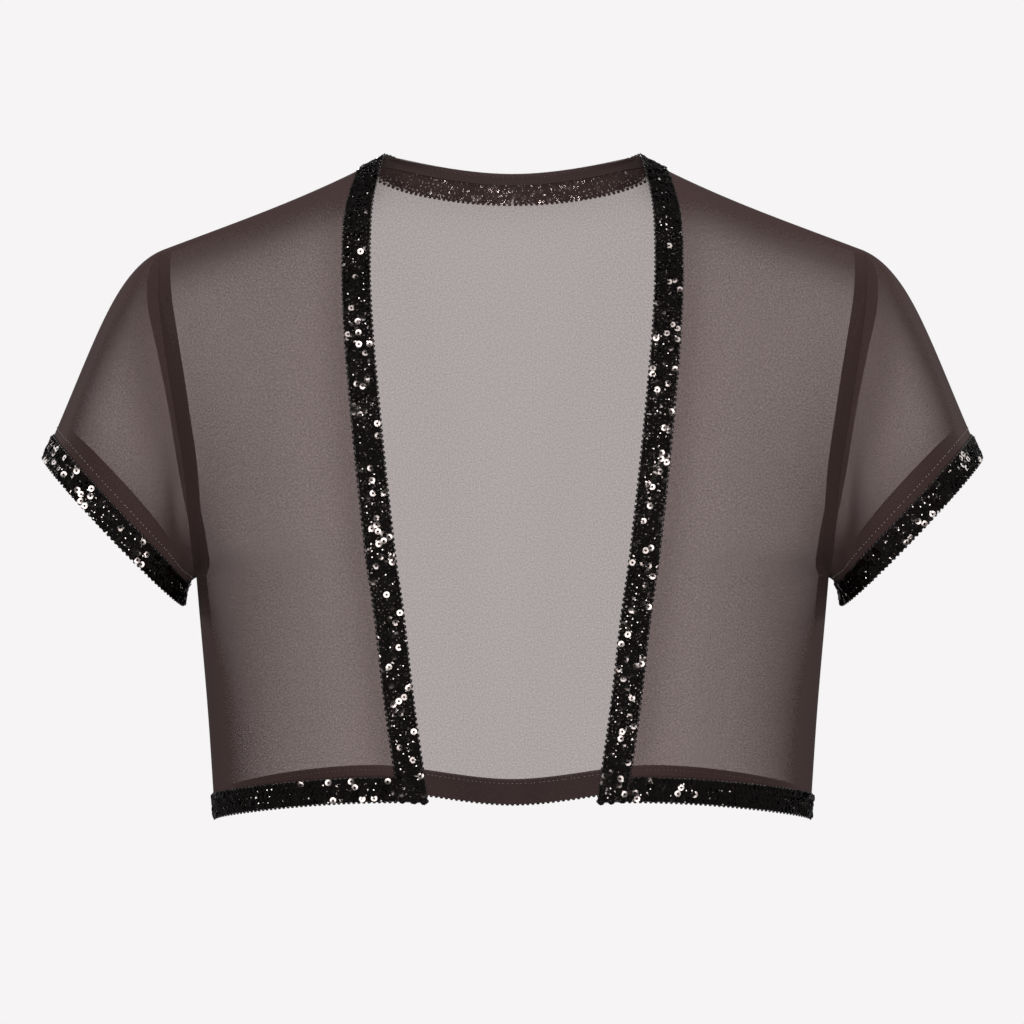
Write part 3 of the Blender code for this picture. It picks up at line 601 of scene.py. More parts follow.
class SleeveSurface:
    """The wearer's left sleeve, from the armhole (0) to the cuff edge (1)."""

    def __init__(self) -> None:
        """Read the sleeve's table, wrapped round at both ends."""
        turns = [row.turn for row in SLEEVE_ROWS]
        wrapped = [turn - 360.0 for turn in turns[-2:]]
        self.turns = np.array(wrapped + turns + [turn + 360.0 for turn in turns[:2]])
        values = np.array([row[1:] for row in SLEEVE_ROWS], dtype=float)
        self.values = np.concatenate((values[-2:], values, values[:2]))

    def settings(self, turn: Array) -> Array:
        """Return the table's columns at any turn, smoothly between its rows."""
        slopes, _ = slopes_through(self.turns, self.values)
        index = np.clip(np.searchsorted(self.turns, turn, side="right") - 1, 1, len(self.turns) - 3)
        step = (self.turns[index + 1] - self.turns[index])[:, None]
        local = (turn - self.turns[index]) / step[:, 0]
        start, end = self.values[index], self.values[index + 1]
        return hermite(start, slopes[index] * step, end, slopes[index + 1] * step, local)

    @staticmethod
    def armhole(turn: Array) -> Array:
        """Return points of the armhole, read from the side edges of the front and the back."""
        is_ahead = turn <= 180.0
        share = np.where(is_ahead, turn / 180.0, (360.0 - turn) / 180.0)
        v = 1.0 - share * (1.0 - UNDERARM_PLACE)
        side = np.zeros(len(turn))
        return np.where(is_ahead[:, None], FRONT.at(side, v), BACK.at(side, v))

    @staticmethod
    def cuff(turn: Array) -> Array:
        """Return points of the cuff edge, an ellipse across the arm."""
        outer = np.array(CUT.cuff_outer)
        inner = np.array(CUT.cuff_inner)
        angle = np.radians(turn)[:, None]
        ahead = np.array((0.0, -CUT.cuff_half_depth, 0.0))
        return (outer + inner) / 2 + (outer - inner) / 2 * np.cos(angle) + ahead * np.sin(angle)

    def at(self, turn: Array, t: Array) -> Array:
        """Return points at turns in degrees and places t, arrays of one length."""
        turn = np.mod(np.asarray(turn, dtype=float), 360.0)
        ways, pulls, drops, arrive_pulls = np.split(self.settings(turn), (3, 4, 5), axis=1)
        leave = unit(ways) * pulls
        drop = np.radians(drops[:, 0])
        level = np.zeros(len(turn))
        arrive = np.stack((np.cos(drop), level, -np.sin(drop)), axis=1) * arrive_pulls
        return hermite(self.armhole(turn), leave, self.cuff(turn), arrive, t)

    def normals(self, turn: Array, t: Array) -> Array:
        """Return outward normals at turns and places t."""
        nudge = 0.01
        degree = 1.0
        around = self.at(turn + degree, t) - self.at(turn - degree, t)
        along = self.at(turn, np.minimum(t + nudge, 1.0)) - self.at(turn, np.maximum(t - nudge, 0.0))
        return unit(np.cross(around, along))

    def before_cuff(self, turns: Array, lengths: Array) -> Array:
        """Return the places that lie some lengths from the cuff edge, a row for each length."""
        run = np.linspace(0.0, 1.0, DENSITY.samples)
        columns = []
        for turn in turns:
            along = lengths_along(self.at(np.full(len(run), turn), run))
            columns.append(np.interp(along[-1] - lengths, along, run))
        return np.array(columns).T

    def patch(self, turns: Array, places: Array) -> "Patch":
        """Return the cloth at a grid of turns and places."""
        flat_turns, flat_places = turns.ravel(), places.ravel()
        shape = turns.shape + (3,)
        return Patch(self.at(flat_turns, flat_places).reshape(shape),
                     self.normals(flat_turns, flat_places).reshape(shape), closed=True)

    def grid(self, front_v: Array, back_v: Array) -> tuple[Array, Array]:
        """Return turns and places over the sleeve; the turns follow the armhole's grid rows.

        Args:
            front_v: heights of the front's side edge from the underarm up.
            back_v: the same of the back.
        """
        whole = 1.0 - UNDERARM_PLACE
        ahead = 180.0 * (1.0 - front_v) / whole
        behind = 360.0 - 180.0 * (1.0 - back_v) / whole
        turns = np.concatenate((ahead[::-1], behind[1:-1]))
        trim, fold = self.before_cuff(turns, np.array((CUT.cuff_trim, CUT.cuff_fold)))
        rows = [trim * share for share in np.linspace(0.0, 1.0, DENSITY.sleeve + 1)]
        rows.append(fold)
        shares = np.arange(1, DENSITY.folded + 1) / DENSITY.folded
        rows += [fold + (1.0 - fold) * share for share in shares]
        return np.tile(turns, (len(rows), 1)), np.array(rows)


SLEEVE = SleeveSurface()


class Patch:
    """A grid of points with outward normals, in millimetres."""

    def __init__(self, points: Array, normals: Array, closed: bool = False) -> None:
        """Keep the grid.

        Args:
            points: rows by columns by 3.
            normals: the same shape.
            closed: whether the last column joins the first.
        """
        self.points = points
        self.normals = normals
        self.closed = closed

    def changed(self, change: Callable[[Array], Array], closed: bool = False) -> "Patch":
        """Return the patch with one change made to its points and its normals alike."""
        return Patch(change(self.points), change(self.normals), closed)

    def part(self, rows: slice, columns: slice = slice(None)) -> "Patch":
        """Return the same points over some rows and columns."""
        closed = self.closed and columns == slice(None)
        return self.changed(lambda grid: grid[rows, columns].copy(), closed)

    def on(self, side: Side) -> "Patch":
        """Return the patch, which is the left one, on a side of the wearer."""
        flip = np.array((float(side.value), 1.0, 1.0))
        return self.changed(lambda grid: grid * flip, self.closed)

    def columns_back(self) -> "Patch":
        """Return the patch with its columns in reverse order."""
        return self.changed(lambda grid: grid[:, ::-1].copy(), self.closed)

    def rows_back(self) -> "Patch":
        """Return the patch with its rows in reverse order."""
        return self.changed(lambda grid: grid[::-1].copy(), self.closed)

    def turned_over(self) -> "Patch":
        """Return the patch with rows and columns exchanged."""
        return self.changed(lambda grid: grid.transpose(1, 0, 2).copy())

    def beside(self, other: "Patch") -> "Patch":
        """Return this patch with another beside it, sharing the column where they meet."""
        points = np.concatenate((self.points, other.points[:, 1:]), axis=1)
        return Patch(points, np.concatenate((self.normals, other.normals[:, 1:]), axis=1))

    def before(self, other: "Patch") -> "Patch":
        """Return this patch with another after its last row, sharing the row where they meet."""
        points = np.concatenate((self.points, other.points[1:]))
        return Patch(points, np.concatenate((self.normals, other.normals[1:])))

    def moved_out(self, distance: float) -> "Patch":
        """Return the patch moved along its normals."""
        return Patch(self.points + self.normals * distance, self.normals, self.closed)

    def drawn_in(self, first_row: float = 0.0, last_row: float = 0.0, first_column: float = 0.0,
                 last_column: float = 0.0) -> "Patch":
        """Return the patch with its border rows and columns moved inwards by some lengths."""
        points = self.points.copy()
        for border, inner, length in ((0, 1, first_row), (-1, -2, last_row)):
            points[border] += unit(points[inner] - points[border]) * length
        for border, inner, length in ((0, 1, first_column), (-1, -2, last_column)):
            points[:, border] += unit(points[:, inner] - points[:, border]) * length
        return Patch(points, self.normals, self.closed)

    def flat_places(self) -> Array:
        """Return places on the flat cloth in metres: across along the rows, up along the columns."""
        steps = np.linalg.norm(np.diff(self.points, axis=1), axis=2)
        across = np.concatenate((np.zeros((len(steps), 1)), np.cumsum(steps, axis=1)), axis=1)
        rises = np.linalg.norm(np.diff(self.points, axis=0), axis=2).mean(axis=1)
        up = np.concatenate(((0.0,), np.cumsum(rises)))
        across -= across[:, -1:] / 2
        return np.stack((across, np.broadcast_to(up[:, None], across.shape)), axis=2) * MILLIMETRE


def body_patch(surface: BodySurface, grid: BodyGrid, lines: BodyLines) -> tuple[Patch, Array]:
    """Return the fine patch of a front or half back, and its places v."""
    u_rows, v_rows = grid.places(lines)
    shape = u_rows.shape + (3,)
    points = surface.at(u_rows.ravel(), v_rows.ravel()).reshape(shape)
    normals = surface.normals(u_rows.ravel(), v_rows.ravel()).reshape(shape)
    return Patch(points, normals), v_rows


def share_armhole_normals(front: Patch, back: Patch, sleeve: Patch, count: int) -> None:
    """Give the three patches one normal at each point of the armhole, so that their edges match."""
    for step in range(count + 1):
        row = -1 - step
        if step in (0, count):
            mean = unit(front.normals[row, 0] + back.normals[row, 0] + sleeve.normals[0, step])
            front.normals[row, 0] = mean
            back.normals[row, 0] = mean
            sleeve.normals[0, step] = mean
            continue
        for panel, place in ((front, step), (back, -step)):
            mean = unit(panel.normals[row, 0] + sleeve.normals[0, place])
            panel.normals[row, 0] = mean
            sleeve.normals[0, place] = mean


class NeckEdge:
    """Strips of the back that follow the neck edge at a set distance.

    A place is searched for on a grid near the neck, then on smaller and smaller windows round the
    best place so far.
    """

    across = (0.3, 1.0, 141)
    up = (0.8, 1.0, 101)
    window = 0.006
    narrowing = 0.55
    rounds = 9
    window_steps = 7
    tangent_step = 0.01
    least_drop = 0.05

    def __init__(self) -> None:
        """Lay out the search grid on the back."""
        u_steps, v_steps = np.meshgrid(np.linspace(*self.across), np.linspace(*self.up))
        self.u = u_steps.ravel()
        self.v = v_steps.ravel()
        self.points = BACK.at(self.u, self.v)

    def square_place(self, here: Array, tangent: Array, distance: float) -> tuple[float, float]:
        """Return the place at a distance from a point of the edge, square to the edge."""
        u, v, points = self.u, self.v, self.points
        window = self.window
        for _ in range(self.rounds):
            offsets = points - here
            miss = np.abs(offsets @ tangent) + np.abs(np.linalg.norm(offsets, axis=1) - distance)
            best = int(np.argmin(miss))
            found = (float(u[best]), float(v[best]))
            steps = np.linspace(-window, window, self.window_steps)
            u_steps, v_steps = np.meshgrid(found[0] + steps, found[1] + steps / 2)
            u = np.clip(u_steps.ravel(), 0.0, 1.0)
            v = np.clip(v_steps.ravel(), 0.0, 1.0)
            points = BACK.at(u, v)
            window *= self.narrowing
        return found

    def strip(self, drop: float, width: float, first: float = 0.0) -> Patch:
        """Return a strip along half of the neck, with a row for each step from the shoulder seam.

        Args:
            drop: how far below the edge the first column lies, reached softly from the seam.
            width: from the first column to the last.
            first: where the strip starts, from the shoulder seam (0) to the centre back (1).
        """
        rows = []
        directions = []
        for share in np.linspace(first, 1.0, DENSITY.neck + 1):
            onward = min(share + self.tangent_step, 1.0)
            backward = max(share - self.tangent_step, 0.0)
            here, after, before = neck_line(np.array((share, onward, backward)))
            tangent = unit(after - before)
            near = drop * float(soft_step(share / CUT.neck_drop_reach))
            edge = (CUT.neck_column + (1.0 - CUT.neck_column) * share, 1.0)
            top = edge if near < self.least_drop else self.square_place(here, tangent, near)
            low = self.square_place(here, tangent, near + width)
            steps = np.linspace(0.0, 1.0, DENSITY.folded + 2)
            u_line = top[0] + (low[0] - top[0]) * steps
            v_line = top[1] + (low[1] - top[1]) * steps
            rows.append(BACK.at(u_line, v_line))
            directions.append(BACK.normals(u_line, v_line))
        return Patch(np.array(rows), np.array(directions))


# Meshes

SHARP_FROM = math.radians(50.0)


def indexed_faces(rows: int, columns: int, closed: bool) -> Array:
    """Return the squares of a grid as rows of four point numbers."""
    spans = columns if closed else columns - 1
    row, column = np.meshgrid(np.arange(rows - 1), np.arange(spans), indexing="ij")
    after = (column + 1) % columns
    corners = (row * columns + column, row * columns + after,
               (row + 1) * columns + after, (row + 1) * columns + column)
    return np.stack([corner.ravel() for corner in corners], axis=1)


def new_mesh(name: str, points: Array, faces: Array) -> bpy.types.Mesh:
    """Return a mesh in metres from points in millimetres and faces of one size."""
    mesh = bpy.data.meshes.new(name)
    mesh.from_pydata((points * MILLIMETRE).tolist(), [], faces.tolist())
    mesh.update()
    return mesh


def face_outwards(mesh: bpy.types.Mesh) -> None:
    """Turn the faces of a closed mesh outwards."""
    shape = bmesh.new()
    shape.from_mesh(mesh)
    bmesh.ops.recalc_face_normals(shape, faces=shape.faces)
    shape.to_mesh(mesh)
    shape.free()


def link(name: str, mesh: bpy.types.Mesh) -> bpy.types.Object:
    """Return a new object of a mesh, in the scene."""
    piece = bpy.data.objects.new(name, mesh)
    bpy.context.scene.collection.objects.link(piece)
    return piece


def squares_facing_out(patch: Patch) -> Array:
    """Return the squares of a patch, wound so that they face along its normals."""
    squares = indexed_faces(*patch.points.shape[:2], patch.closed)
    corners = squares[len(squares) // 2]
    first, second, _, fourth = patch.points.reshape(-1, 3)[corners]
    outward = patch.normals.reshape(-1, 3)[corners[0]]
    if np.dot(np.cross(second - first, fourth - first), outward) < 0:
        return squares[:, ::-1]
    return squares


def rim_faces(patch: Patch) -> list[Array]:
    """Return the faces that join the borders of a patch's outer and inner points."""
    rows, columns = patch.points.shape[:2]
    count = rows * columns
    grid = np.arange(count).reshape(rows, columns)
    rims = []
    for line in (grid[0], grid[-1]):
        following = np.roll(line, -1)
        ends = np.stack((line, following, following + count, line + count), axis=1)
        rims.append(ends if patch.closed else ends[:-1])
    if not patch.closed:
        for line in (grid[:, 0], grid[:, -1]):
            rims.append(np.stack((line[:-1], line[1:], line[1:] + count, line[:-1] + count), axis=1))
    return rims


def lay_flat(mesh: bpy.types.Mesh, patch: Patch, painted_shade: Array | float, slant: Array | float) -> None:
    """Give a shell the two UV maps that its finish reads.

    Args:
        mesh: the shell on the patch, its outer points first.
        patch: the middle surface.
        painted_shade: painted shade, as how much more the yarn covers at each point of the patch.
        slant: how fast the net closes as it turns away.
    """
    cover = np.empty((2, *patch.points.shape[:2], 2))
    cover[..., 0] = painted_shade
    cover[..., 1] = slant
    flat = np.tile(patch.flat_places().reshape(-1, 2), (2, 1))
    corners = np.empty(len(mesh.loops), dtype=int)
    mesh.loops.foreach_get("vertex_index", corners)
    for name, values in (("Cloth", flat), ("Cover", cover.reshape(-1, 2))):
        layer = mesh.uv_layers.new(name=name)
        layer.data.foreach_set("uv", values[corners].ravel())


def shell(name: str, patch: Patch, thickness: float, finish: bpy.types.Material,
          painted_shade: Array | float = 0.0, slant: Array | float = 1.5) -> bpy.types.Object:
    """Make a closed thin shell with its middle on a patch, laid out flat in its UV map.

    A second UV map holds how the net covers: the painted shade, as added cover at each place, and
    how fast it closes as it turns away.

    Args:
        name: the piece's name.
        patch: the middle surface.
        thickness: in millimetres.
        finish: the piece's material.
        painted_shade: painted shade, as how much more the yarn covers at each point of the patch.
        slant: how fast the net closes as it turns away.

    Returns:
        The new object.
    """
    half = patch.normals * (thickness / 2)
    outside = (patch.points + half).reshape(-1, 3)
    inside = (patch.points - half).reshape(-1, 3)
    outer = squares_facing_out(patch)
    inner = outer[:, ::-1] + len(outside)
    faces = np.concatenate([outer, inner] + rim_faces(patch))
    mesh = new_mesh(name, np.concatenate((outside, inside)), faces)
    face_outwards(mesh)
    lay_flat(mesh, patch, painted_shade, slant)
    mesh.materials.append(finish)
    mesh.shade_smooth()
    mesh.set_sharp_from_angle(angle=SHARP_FROM)
    return link(name, mesh)


def flat_area(patch: Patch) -> float:
    """Return a patch's area in square metres."""
    points = patch.points
    if patch.closed:
        points = np.concatenate((points, points[:, :1]), axis=1)
    across = np.diff(points, axis=1)
    upward = np.diff(points, axis=0)
    first = np.linalg.norm(np.cross(across[:-1], upward[:, :-1]), axis=2)
    second = np.linalg.norm(np.cross(across[1:], upward[:, 1:]), axis=2)
    return float((first + second).sum() / 2 * MILLIMETRE**2)


# Finishes


def linked(tree: bpy.types.NodeTree, source: bpy.types.NodeSocket,
           target: bpy.types.NodeSocket) -> None:
    """Join two sockets of a node tree."""
    tree.links.new(source, target)


def arithmetic(tree: bpy.types.NodeTree, operation: str,
               *inputs: float | bpy.types.NodeSocket) -> bpy.types.NodeSocket:
    """Add a Math node to a tree.

    Args:
        tree: the node tree.
        operation: what the node does.
        inputs: numbers or sockets, in the node's order.

    Returns:
        The node's output.
    """
    node = tree.nodes.new("ShaderNodeMath")
    node.operation = operation
    for socket, value in zip(node.inputs, inputs):
        if isinstance(value, bpy.types.NodeSocket):
            tree.links.new(value, socket)
        else:
            socket.default_value = value
    return node.outputs[0]


def mixed_shaders(tree: bpy.types.NodeTree, share: bpy.types.NodeSocket, first: bpy.types.NodeSocket,
                  second: bpy.types.NodeSocket) -> bpy.types.NodeSocket:
    """Return a mix of two shaders, with a share of the second."""
    mix = tree.nodes.new("ShaderNodeMixShader")
    linked(tree, share, mix.inputs["Fac"])
    linked(tree, first, mix.inputs[1])
    linked(tree, second, mix.inputs[2])
    return mix.outputs["Shader"]


def plain_principled(tree: bpy.types.NodeTree, colour: Colour, roughness: float,
                     metallic: float = 0.0) -> bpy.types.ShaderNode:
    """Return the tree's Principled BSDF, set to a colour, roughness and metallic value."""
    shader = tree.nodes["Principled BSDF"]
    shader.inputs["Base Color"].default_value = (*colour, 1.0)
    shader.inputs["Roughness"].default_value = roughness
    shader.inputs["Metallic"].default_value = metallic
    return shader


@dataclass(frozen=True)
class SheerFinish:
    """Fine knitted net: the light that passes one layer seen square on, and its yarn's colour.

    Turned to one side its ribs close up: the share that the yarn covers grows, up to full. Tipped
    up or down it closes much less.
    """

    name: str
    passes: float
    tint: Colour = (1.0, 0.962, 0.955)
    yarn: Colour = (0.082, 0.049, 0.047)
    roughness: float = 0.7
    specular: float = 0.1
    sheen: float = 0.03
    sheen_roughness: float = 0.5
    grain: float = 0.14
    grain_size: float = 0.0009
    least_clear: float = 0.012
    least_cosine: float = 0.02
    tipping: float = 0.3
    square_on: float = 0.9

    def build(self) -> bpy.types.Material:
        """Return the material, whose two walls together pass the share of light."""
        finish = bpy.data.materials.new(self.name)
        finish.use_nodes = True
        tree = finish.node_tree
        shader = plain_principled(tree, self.yarn, self.roughness)
        shader.inputs["Sheen Weight"].default_value = self.sheen
        shader.inputs["Sheen Roughness"].default_value = self.sheen_roughness
        shader.inputs["Specular IOR Level"].default_value = self.specular
        through = tree.nodes.new("ShaderNodeBsdfTransparent")
        through.inputs["Color"].default_value = (*self.tint, 1.0)
        clear = arithmetic(tree, "SUBTRACT", 1.0, self.covered(tree))
        clear = arithmetic(tree, "MAXIMUM", clear, self.least_clear)
        opacity = arithmetic(tree, "SUBTRACT", 1.0, arithmetic(tree, "SQRT", clear, 0.0))
        opacity.node.use_clamp = True
        mixed = mixed_shaders(tree, opacity, through.outputs["BSDF"], shader.outputs["BSDF"])
        linked(tree, mixed, tree.nodes["Material Output"].inputs["Surface"])
        return finish

    def covered(self, tree: bpy.types.NodeTree) -> bpy.types.NodeSocket:
        """Return the yarn's share: its own, darkened by painted shade and closed as it turns away."""
        cover_map = tree.nodes.new("ShaderNodeUVMap")
        cover_map.uv_map = "Cover"
        cover = tree.nodes.new("ShaderNodeSeparateXYZ")
        linked(tree, cover_map.outputs["UV"], cover.inputs["Vector"])
        cosine = arithmetic(tree, "MAXIMUM", self.facing_cosine(tree), self.least_cosine)
        away = arithmetic(tree, "DIVIDE", self.square_on, cosine)
        beyond = arithmetic(tree, "MAXIMUM", arithmetic(tree, "SUBTRACT", away, 1.0), 0.0)
        closing = arithmetic(tree, "MULTIPLY_ADD", beyond, cover.outputs["Y"], 1.0)
        # The Cover map's X is painted shade beside the trims, seams and underarms
        painted_shade_factor = arithmetic(tree, "ADD", cover.outputs["X"], 1.0)
        share = arithmetic(tree, "MULTIPLY", self.swing(tree), 1.0 - self.passes)
        share = arithmetic(tree, "MULTIPLY", share, painted_shade_factor)
        return arithmetic(tree, "MULTIPLY", share, closing)

    def facing_cosine(self, tree: bpy.types.NodeTree) -> bpy.types.NodeSocket:
        """Return how squarely the cloth is seen, counting a tip up or down for less."""
        surface = tree.nodes.new("ShaderNodeNewGeometry")
        flattened = tree.nodes.new("ShaderNodeVectorMath")
        flattened.operation = "MULTIPLY"
        flattened.inputs[1].default_value = (1.0, 1.0, self.tipping)
        linked(tree, surface.outputs["Normal"], flattened.inputs[0])
        level = tree.nodes.new("ShaderNodeVectorMath")
        level.operation = "NORMALIZE"
        linked(tree, flattened.outputs["Vector"], level.inputs[0])
        # At an even blend the facing value is 1 less the cosine
        weight = tree.nodes.new("ShaderNodeLayerWeight")
        weight.inputs["Blend"].default_value = 0.5
        linked(tree, level.outputs["Vector"], weight.inputs["Normal"])
        return arithmetic(tree, "SUBTRACT", 1.0, weight.outputs["Facing"])

    def swing(self, tree: bpy.types.NodeTree) -> bpy.types.NodeSocket:
        """Return how the yarn's share swings about 1 with the grain, whose noise is 0.5 on average."""
        place = tree.nodes.new("ShaderNodeUVMap")
        place.uv_map = "Cloth"
        noise = tree.nodes.new("ShaderNodeTexNoise")
        noise.inputs["Scale"].default_value = 1.0 / self.grain_size
        noise.inputs["Detail"].default_value = 1.0
        linked(tree, place.outputs["UV"], noise.inputs["Vector"])
        span = 4.0 * self.grain
        return arithmetic(tree, "MULTIPLY_ADD", noise.outputs["Fac"], span, 1.0 - span / 2)


@dataclass(frozen=True)
class GlossFinish:
    """The shiny or plain surface of sequins, beads and thread."""

    name: str
    colour: Colour
    roughness: float
    metallic: float = 1.0
    coat: float = 0.0
    coat_roughness: float = 0.05

    def build(self) -> bpy.types.Material:
        """Return the material."""
        finish = bpy.data.materials.new(self.name)
        finish.use_nodes = True
        shader = plain_principled(finish.node_tree, self.colour, self.roughness, self.metallic)
        shader.inputs["Coat Weight"].default_value = self.coat
        shader.inputs["Coat Roughness"].default_value = self.coat_roughness
        return finish


class Looks:
    """Every finish of the garment."""

    def __init__(self) -> None:
        """Build the finishes."""
        self.mesh = SheerFinish("sheer_mesh", 0.415).build()
        self.side = SheerFinish("mesh_turned_at_side", 0.35, grain=0.06).build()
        # Painted shade: these turned-in pieces use the mesh's yarn made darker; their dense turned-in
        # cloth itself is real
        self.arm = SheerFinish("mesh_turned_at_armhole", 0.03, yarn=(0.044, 0.029, 0.029),
                               grain=0.04).build()
        self.shoulder = SheerFinish("mesh_turned_at_shoulder", 0.06, yarn=(0.066, 0.041, 0.04),
                                    grain=0.06).build()
        self.fold = SheerFinish("mesh_folded", 0.03, yarn=(0.076, 0.047, 0.046),
                                grain=0.04).build()
        self.net = SheerFinish("trim_net", 0.6, tint=(1.0, 0.99, 0.985),
                               yarn=(0.03, 0.023, 0.022)).build()
        self.sequin = GlossFinish("sequin_black", (0.045, 0.039, 0.037), 0.1).build()
        self.underside = GlossFinish("sequin_underside", (0.8, 0.79, 0.78), 0.16).build()
        self.bead = GlossFinish("bead_black", (0.07, 0.066, 0.063), 0.16).build()
        self.edge = GlossFinish("edge_bead", (0.012, 0.010, 0.010), 0.3, metallic=0.0,
                                coat=0.3).build()
        self.thread = GlossFinish("thread", (0.3, 0.25, 0.25), 0.5, metallic=0.0).build()


# Camera and light


@dataclass(frozen=True)
class Camera:
    """The camera, level with the middle of the garment and square to it."""

    distance: float = 2.4
    height: float = -0.1917
    aside: float = -0.0003
    seen_width: float = 0.55296
    sensor: float = 36.0

    @property
    def place(self) -> tuple[float, float, float]:
        """Where the camera stands, in metres."""
        return (self.aside, -self.distance, self.height)

    def build(self) -> None:
        """Place the camera."""
        data = bpy.data.cameras.new("camera")
        data.sensor_width = self.sensor
        data.lens = self.sensor * self.distance / self.seen_width
        data.dof.use_dof = False
        camera = bpy.data.objects.new("camera", data)
        camera.location = self.place
        camera.rotation_euler = (math.radians(90.0), 0.0, 0.0)
        bpy.context.scene.collection.objects.link(camera)
        bpy.context.scene.camera = camera


class Lamp(NamedTuple):
    """A soft box: where it stands, its side in metres and its power in watts."""

    name: str
    x: float
    y: float
    z: float
    side: float
    power: float

    @property
    def place(self) -> tuple[float, float, float]:
        """Where the soft box hangs, in metres."""
        return (self.x, self.y, self.z)


KEY = Lamp("key", -0.72, -2.5, 0.62, 0.38, 17.0)
LAMPS = (
    KEY,
    Lamp("fill", 0.85, -2.45, 0.35, 0.38, 15.0),
    Lamp("high", 0.1, -1.2, 1.7, 0.45, 9.5),
    Lamp("low", 0.25, -2.5, -0.95, 0.36, 9.0),
    Lamp("left_rim", 1.7, 0.6, 0.6, 0.5, 9.0),
    Lamp("right_rim", -1.7, 0.6, 0.6, 0.5, 9.0),
    Lamp("behind", 0.0, 2.2, 0.8, 0.5, 11.0),
)
CAMERA = Camera()
KEY_PLACE = np.array(KEY.place) / MILLIMETRE
VIEW_PLACE = np.round(np.array(CAMERA.place) / MILLIMETRE)


@dataclass(frozen=True)
class Studio:
    """A white backdrop that glows behind the sheer cloth, dimmer as a source of light."""

    backdrop: Colour = (0.9216, 0.9047, 0.9131)
    ambient: Colour = (0.15, 0.148, 0.15)
    target: tuple[float, float, float] = (0.0, 0.0, -0.18)
    clear_bounces: int = 48

    def build(self) -> None:
        """Set the world, the lamps and how colours show."""
        scene = bpy.context.scene
        world = bpy.data.worlds.new("studio")
        world.use_nodes = True
        scene.world = world
        tree = world.node_tree
        shown = tree.nodes["Background"]
        shown.inputs["Color"].default_value = (*self.backdrop, 1.0)
        cast = tree.nodes.new("ShaderNodeBackground")
        cast.inputs["Color"].default_value = (*self.ambient, 1.0)
        path = tree.nodes.new("ShaderNodeLightPath")
        mixed = mixed_shaders(tree, path.outputs["Is Camera Ray"], cast.outputs["Background"],
                              shown.outputs["Background"])
        linked(tree, mixed, tree.nodes["World Output"].inputs["Surface"])
        for lamp in LAMPS:
            self.hang(lamp)
        scene.view_settings.view_transform = "Standard"
        scene.cycles.transparent_max_bounces = self.clear_bounces

    def hang(self, lamp: Lamp) -> None:
        """Hang one soft box, facing the garment."""
        data = bpy.data.lights.new(lamp.name, "AREA")
        data.shape = "SQUARE"
        data.size = lamp.side
        data.energy = lamp.power
        light = bpy.data.objects.new(lamp.name, data)
        light.location = lamp.place
        away = Vector(self.target) - light.location
        light.rotation_euler = away.to_track_quat("-Z", "Y").to_euler()
        light.visible_camera = False
        bpy.context.scene.collection.objects.link(light)


# Things sewn on the trim


def ring(sides: int, radius: float, level: float) -> Array:
    """Return the corners of a level regular polygon about the Z axis."""
    angles = np.arange(sides) * 2 * math.pi / sides
    return np.stack((np.cos(angles) * radius, np.sin(angles) * radius, np.full(sides, level)), axis=1)


@dataclass(frozen=True)
class SequinShape:
    """A round sequin with a hole, flat or cupped, in millimetres."""

    outer: float
    hole: float
    thickness: float
    cup: float
    sides: int

    def mesh(self, looks: Looks) -> bpy.types.Mesh:
        """Return a closed ring of two rims with a shiny underside."""
        rings = [ring(self.sides, radius, level) for radius, level in (
            (self.hole, 0.0), (self.outer, self.cup),
            (self.outer, self.cup - self.thickness), (self.hole, -self.thickness))]
        faces = indexed_faces(len(rings) + 1, self.sides, True) % (len(rings) * self.sides)
        mesh = new_mesh("sequin", np.concatenate(rings), faces)
        mesh.materials.append(looks.sequin)
        mesh.materials.append(looks.underside)
        under = np.repeat((0, 0, 1, 0), self.sides)
        mesh.polygons.foreach_set("material_index", under.astype(int))
        face_outwards(mesh)
        return mesh


class Lie(NamedTuple):
    """How things lie on a trim: their heights over the cloth in mm, and the most tilt in degrees."""

    lowest: float
    highest: float
    tilt: float


class SequinLayer(NamedTuple):
    """A layer of sequins: shape, steps along and across, looseness, least way from the edges, lie."""

    shape: SequinShape
    pitch_along: float
    pitch_across: float
    jitter: float
    margin: float
    lie: Lie


@dataclass(frozen=True)
class Sparkle:
    """How some pieces on a trim are turned to mirror the key lamp, in clusters.

    Each stretch of the trim has a chance of its own, up to the most times the usual one. Pieces
    that face away from the camera have a higher one, because only their undersides are seen.
    """

    stretch: float = 12.0
    most: float = 3.0
    behind: float = 6.0
    least_facing: float = 0.77
    looseness: float = 0.04
    lift: float = 0.45


UPPER = SequinLayer(SequinShape(outer=1.7, hole=0.62, thickness=0.08, cup=0.02, sides=12),
                    pitch_along=3.3, pitch_across=3.1, jitter=0.25, margin=2.1,
                    lie=Lie(lowest=1.2, highest=1.5, tilt=18.0))
LOWER = SequinLayer(SequinShape(outer=2.0, hole=0.6, thickness=0.08, cup=0.16, sides=8),
                    pitch_along=3.1, pitch_across=2.9, jitter=0.6, margin=2.3,
                    lie=Lie(lowest=0.7, highest=0.9, tilt=22.0))
SPARKLE = Sparkle()


def bead_mesh(name: str, size: tuple[float, float, float],
              finish: bpy.types.Material) -> bpy.types.Mesh:
    """Return a small smooth closed bead of 20 faces, with its sizes in millimetres."""
    shape = bmesh.new()
    bmesh.ops.create_icosphere(shape, subdivisions=1, radius=0.5)
    bmesh.ops.scale(shape, vec=Vector(size) * MILLIMETRE, verts=shape.verts)
    mesh = bpy.data.meshes.new(name)
    shape.to_mesh(mesh)
    shape.free()
    mesh.materials.append(finish)
    mesh.shade_smooth()
    return mesh


